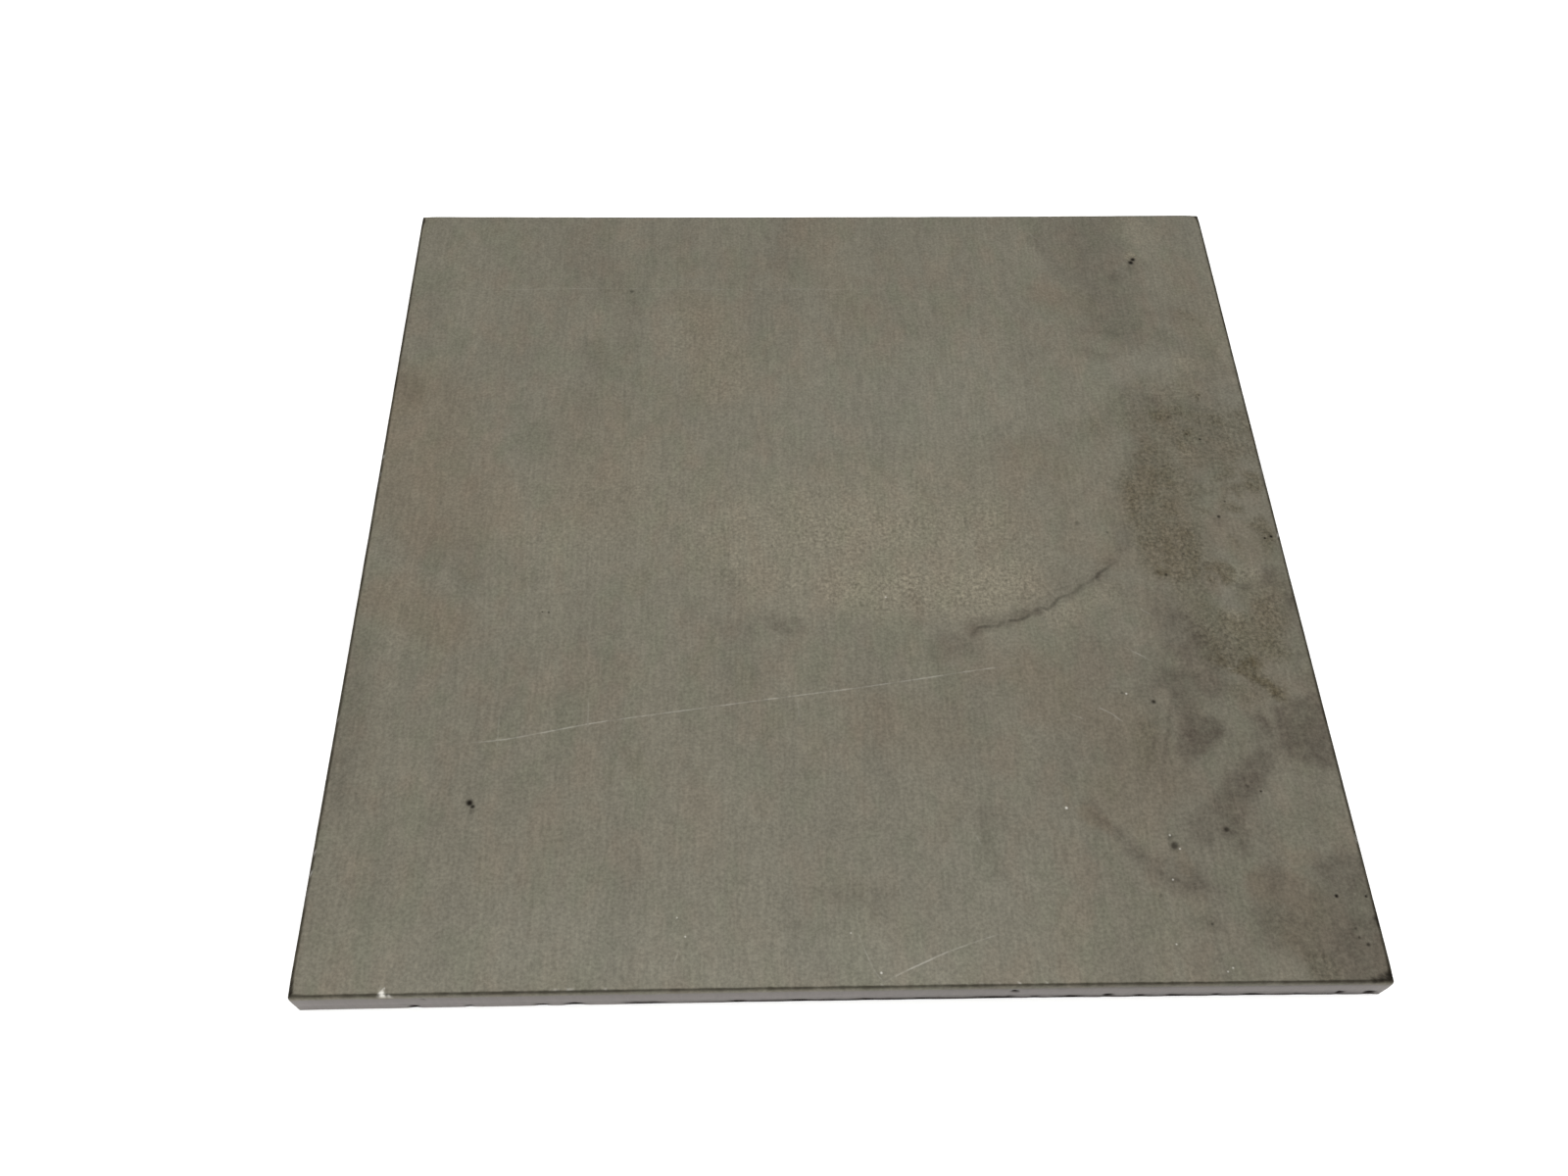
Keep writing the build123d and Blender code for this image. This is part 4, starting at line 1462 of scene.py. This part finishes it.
@dataclass(frozen=True)
class RolledSkin(Steel):
    """Pickled hot-rolled mild steel.

    Acid has taken the blue-black scale off, which leaves a matt olive-grey skin with a
    fine grain from the rolls along its length. Handling and damp have clouded it, and
    over the roll-over of the rim a dark line of shade is painted on.
    """

    name: str = "pickled_hot_rolled_steel"
    base: str = "7c786b"
    roughness: float = 0.5
    shade: str = "6f6b5f"
    light: str = "8b8676"
    pinkish: str = "847869"
    greenish: str = "727563"
    warm: str = "928a77"
    flush: str = "796c5b"
    pale: str = "868478"
    rust: str = "514934"
    grease: str = "4f4840"
    drawn: str = "3c382f"
    pit: str = "1d1a16"
    bare: str = "f2efe6"
    wear: float = 2.4
    grain_height: float = 0.012

    def material(self) -> bpy.types.Material:
        """Build the material.

        Returns:
            The material, with the marks of the skin laid over the steel.
        """
        material, tree = self.start()
        # The crystals and the lines of the rolls are about 0.05 mm across, too fine for the
        # render to show. Grain, rolls and flecks are drawn as coarse as they need to show.
        # Acid leaves the grain and lumps, and rust leaves the flecks.
        grain = Pattern((0.45, 0.44, 0.45), 0.30, 0.70, detail=3, roughness=0.6, shift=5.0).wire(tree)
        rolls = Pattern((0.5, 6.0, 0.5), 0.30, 0.70, detail=1, shift=13.0).wire(tree)
        lumps = Pattern((1.6, 2.4, 1.6), 0.30, 0.70, detail=3, roughness=0.6, shift=9.0).wire(tree)
        flecks = Pattern((0.6, 0.6, 0.6), 0.34, 0.66, detail=3, roughness=0.7, shift=17.0).wire(tree)
        clouds = Pattern((9, 16, 9), 0.35, 0.65, detail=4).wire(tree)
        streaks = Pattern((5, 40, 5), 0.35, 0.65, detail=2, shift=3.0).wire(tree)
        # The oxide left in the skin turns its hue a little either way, in patches
        pink = Pattern((4.5, 8, 4.5), 0.48, 0.66, detail=2, shift=7.0).wire(tree)
        green = Pattern((4.5, 8, 4.5), 0.48, 0.66, detail=2, shift=11.0).wire(tree)
        # Damp dries in spots, which break up the rust and the grease
        blotch = Pattern((1.3, 1.3, 1.3), 0.30, 0.70, detail=5, roughness=0.8, shift=19.0).wire(tree)
        drift = Pattern((3.6, 3.6, 3.6), 0.32, 0.68, detail=3, roughness=0.6, shift=23.0).wire(tree)
        marks = {mark: self.mark(tree, mark) for mark in Mark}
        for mark in (Mark.RUST, Mark.GREASE):
            for pattern, depth in ((blotch, 0.40), (drift, 0.14)):
                product = add_node(tree, "ShaderNodeMath", {
                    "Value": marks[mark], "Value_001": self.swing(tree, pattern, depth)},
                    operation="MULTIPLY", use_clamp=True)
                marks[mark] = product.outputs[0]
        worn = add_node(tree, "ShaderNodeMath", {
            "Value": marks[Mark.RUST], "Value_001": marks[Mark.WARM]}, operation="ADD").outputs[0]
        worn = add_node(tree, "ShaderNodeMath", {
            "Value": worn, "Value_001": self.wear}, operation="MULTIPLY", use_clamp=True).outputs[0]
        colour = self.tinted(tree, linear(self.base), [
            Layer(self.shade, clouds, 0.35),
            Layer(self.light, streaks, 0.25),
            Layer(self.pinkish, pink, 0.30),
            Layer(self.greenish, green, 0.30),
            Layer(self.warm, marks[Mark.WARM]),
            Layer(self.flush, marks[Mark.FLUSH]),
            Layer(self.pale, marks[Mark.PALE]),
            Layer(self.rust, marks[Mark.RUST]),
            # Grease and tide lines, and the painted shade over the front
            Layer(self.grease, marks[Mark.GREASE]),
        ])
        colour = self.grained(tree, colour, grain, 0.18)
        colour = self.grained(tree, colour, rolls, 0.06)
        colour = self.grained(tree, colour, lumps, 0.05)
        colour = self.grained(tree, colour, flecks, 0.32, worn)
        colour = self.tinted(tree, colour, [
            # Painted shade over the roll-over
            Layer(self.drawn, marks[Mark.DRAWN]),
            Layer(self.pit, marks[Mark.PIT]),
            # Bare metal where pits and scores were struck, and the painted highlights on the rim
            Layer(self.bare, marks[Mark.BARE]),
        ])
        # Where shade is painted over the roll-over, the metal's sheen is taken off too
        self.close(tree, colour, grain, self.grain_height, marks[Mark.DRAWN])
        return material


@dataclass(frozen=True)
class ShearedFace(Steel):
    """Mild steel as the shear leaves it.

    The blade's wipe scores the land upright, and the break below it is a fine grey
    fracture. Neither has the olive skin, so the edge looks cooler than the faces.
    """

    name: str = "sheared_steel"
    base: str = "756f6b"
    roughness: float = 0.48
    score: str = "635e5b"
    fracture: str = "7a7470"
    drawn: str = "3c382f"
    pit: str = "201c1a"
    bare: str = "f2efe6"
    grit_height: float = 0.02

    def material(self) -> bpy.types.Material:
        """Build the material.

        Returns:
            The material, with the marks of the edge laid over the steel.
        """
        material, tree = self.start()
        # The blade's scores and the fracture's grit are a few hundredths of a millimetre
        # wide, and are drawn as coarse as they need to show.
        scores = Pattern((0.5, 0.5, 5.0), 0.3, 0.7, detail=2, shift=2.0).wire(tree)
        grit = Pattern((0.35, 0.35, 0.3), 0.3, 0.7, detail=3, shift=4.0).wire(tree)
        colour = self.tinted(tree, linear(self.base), [
            Layer(self.score, scores, 0.45),
            Layer(self.fracture, grit, 0.45),
            # Painted shade where the roll-over's dark line ends on the land
            Layer(self.drawn, self.mark(tree, Mark.DRAWN)),
            Layer(self.pit, self.mark(tree, Mark.PIT)),
            Layer(self.bare, self.mark(tree, Mark.BARE)),
        ])
        self.close(tree, colour, grit, self.grit_height, self.mark(tree, Mark.PIT))
        return material


# The studio


@dataclass(frozen=True)
class Studio:
    """A light table for a floor, a soft dome of light overhead and the camera.

    The sizes are in millimetres and the angles in degrees. The near clip, which Blender
    takes as it is, is in metres, and the focal length is in pixels of the frame's width.
    """

    floor_size: float = 4000.0
    floor_drop: float = 0.01
    floor_colour: str = "fbfbfa"
    floor_glow: float = 0.55
    dome_aim: tuple = (0.0, 0.12, 1.0)
    dome_edge: float = 68.0
    dome_full: float = 40.0
    dome: float = 1.25
    room: float = 0.25
    camera_place: tuple = (-12.11, -130.34, 192.84)
    camera_aim: tuple = (-7.16, -10.53, 6.0)
    camera_roll: float = 1.534
    frame_width: float = 1600.0
    focal_length: float = 1419.0
    sensor_width: float = 36.0
    near_clip: float = 0.01

    def floor(self) -> bpy.types.Object:
        """Lay the light table under the plate, as a flat square that isn't part of the object.

        It lies a hair below the plate's foot, so that no two faces share one plane.

        Returns:
            The floor.
        """
        half, z = self.floor_size * MM / 2, -self.floor_drop * MM
        mesh = bpy.data.meshes.new("studio_floor")
        corners = [(x * half, y * half, z) for x, y in ((-1, -1), (1, -1), (1, 1), (-1, 1))]
        mesh.from_pydata(corners, [], [(0, 1, 2, 3)])
        floor = bpy.data.objects.new("studio_floor", mesh)
        bpy.context.scene.collection.objects.link(floor)
        material = bpy.data.materials.new("light_table")
        material.use_nodes = True
        tree = material.node_tree
        tree.nodes.clear()
        shader = add_node(tree, "ShaderNodeBsdfPrincipled", {
            "Base Color": linear(self.floor_colour), "Roughness": 0.9, "Specular IOR Level": 0.0,
            "Emission Color": linear(self.floor_colour), "Emission Strength": self.floor_glow})
        add_node(tree, "ShaderNodeOutputMaterial", {"Surface": shader.outputs[0]})
        mesh.materials.append(material)
        return floor

    def light(self) -> None:
        """Hang the dome: bright within an angle of its aim, easing down to the room's light.

        The cosine of the angle between a direction and the aim is their dot product.
        """
        world = bpy.data.worlds.new("studio_light")
        world.use_nodes = True
        tree = world.node_tree
        tree.nodes.clear()
        way = add_node(tree, "ShaderNodeTexCoord").outputs["Generated"]
        aim = Vector(self.dome_aim).normalized()
        height = add_node(tree, "ShaderNodeVectorMath", {
            "Vector": way, "Vector_001": aim}, operation="DOT_PRODUCT")
        glow = add_node(tree, "ShaderNodeMapRange", {
            "Value": output(height, "Value"),
            "From Min": float(np.cos(np.radians(self.dome_edge))),
            "From Max": float(np.cos(np.radians(self.dome_full))),
            "To Min": self.room, "To Max": self.dome}, interpolation_type="SMOOTHSTEP")
        sky = add_node(tree, "ShaderNodeBackground", {"Color": (1, 1, 1, 1), "Strength": glow.outputs[0]})
        add_node(tree, "ShaderNodeOutputWorld", {"Surface": sky.outputs[0]})
        bpy.context.scene.world = world

    def camera(self) -> bpy.types.Object:
        """Set the camera where the plate is looked down on from in front.

        Returns:
            The camera, which the scene uses.
        """
        data = bpy.data.cameras.new("studio_camera")
        data.sensor_width = self.sensor_width
        data.lens = self.focal_length / self.frame_width * self.sensor_width
        data.clip_start = self.near_clip
        camera = bpy.data.objects.new("studio_camera", data)
        place = Vector(self.camera_place) * MM
        look = (Vector(self.camera_aim) * MM - place).normalized()
        roll = Matrix.Rotation(np.radians(self.camera_roll), 3, "Z")
        turn = look.to_track_quat("-Z", "Y").to_matrix() @ roll
        camera.matrix_world = Matrix.Translation(place) @ turn.to_4x4()
        bpy.context.scene.collection.objects.link(camera)
        bpy.context.scene.camera = camera
        return camera


def main() -> None:
    """Build the plate, dress it and set it in the studio."""
    logging.basicConfig(level=logging.INFO, format="%(name)s: %(message)s")
    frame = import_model()
    low, high = (np.array(corner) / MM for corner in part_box(NODE))
    log.info("the frame has %d node(s)", len(frame["nodes"]))

    maker = SteelPlate(low, high)
    plate = maker.build()
    maker.dress(plate, RolledSkin().material(), ShearedFace().material())
    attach(plate, BODY)
    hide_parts(NODE)
    log.info("%s: %d points, %d faces", plate.name, len(plate.data.vertices), len(plate.data.polygons))

    studio = Studio()
    studio.floor()
    studio.light()
    studio.camera()
    bpy.context.scene.view_settings.view_transform = "Standard"
    log.info("the studio is set")


if __name__ == "__main__":
    main()
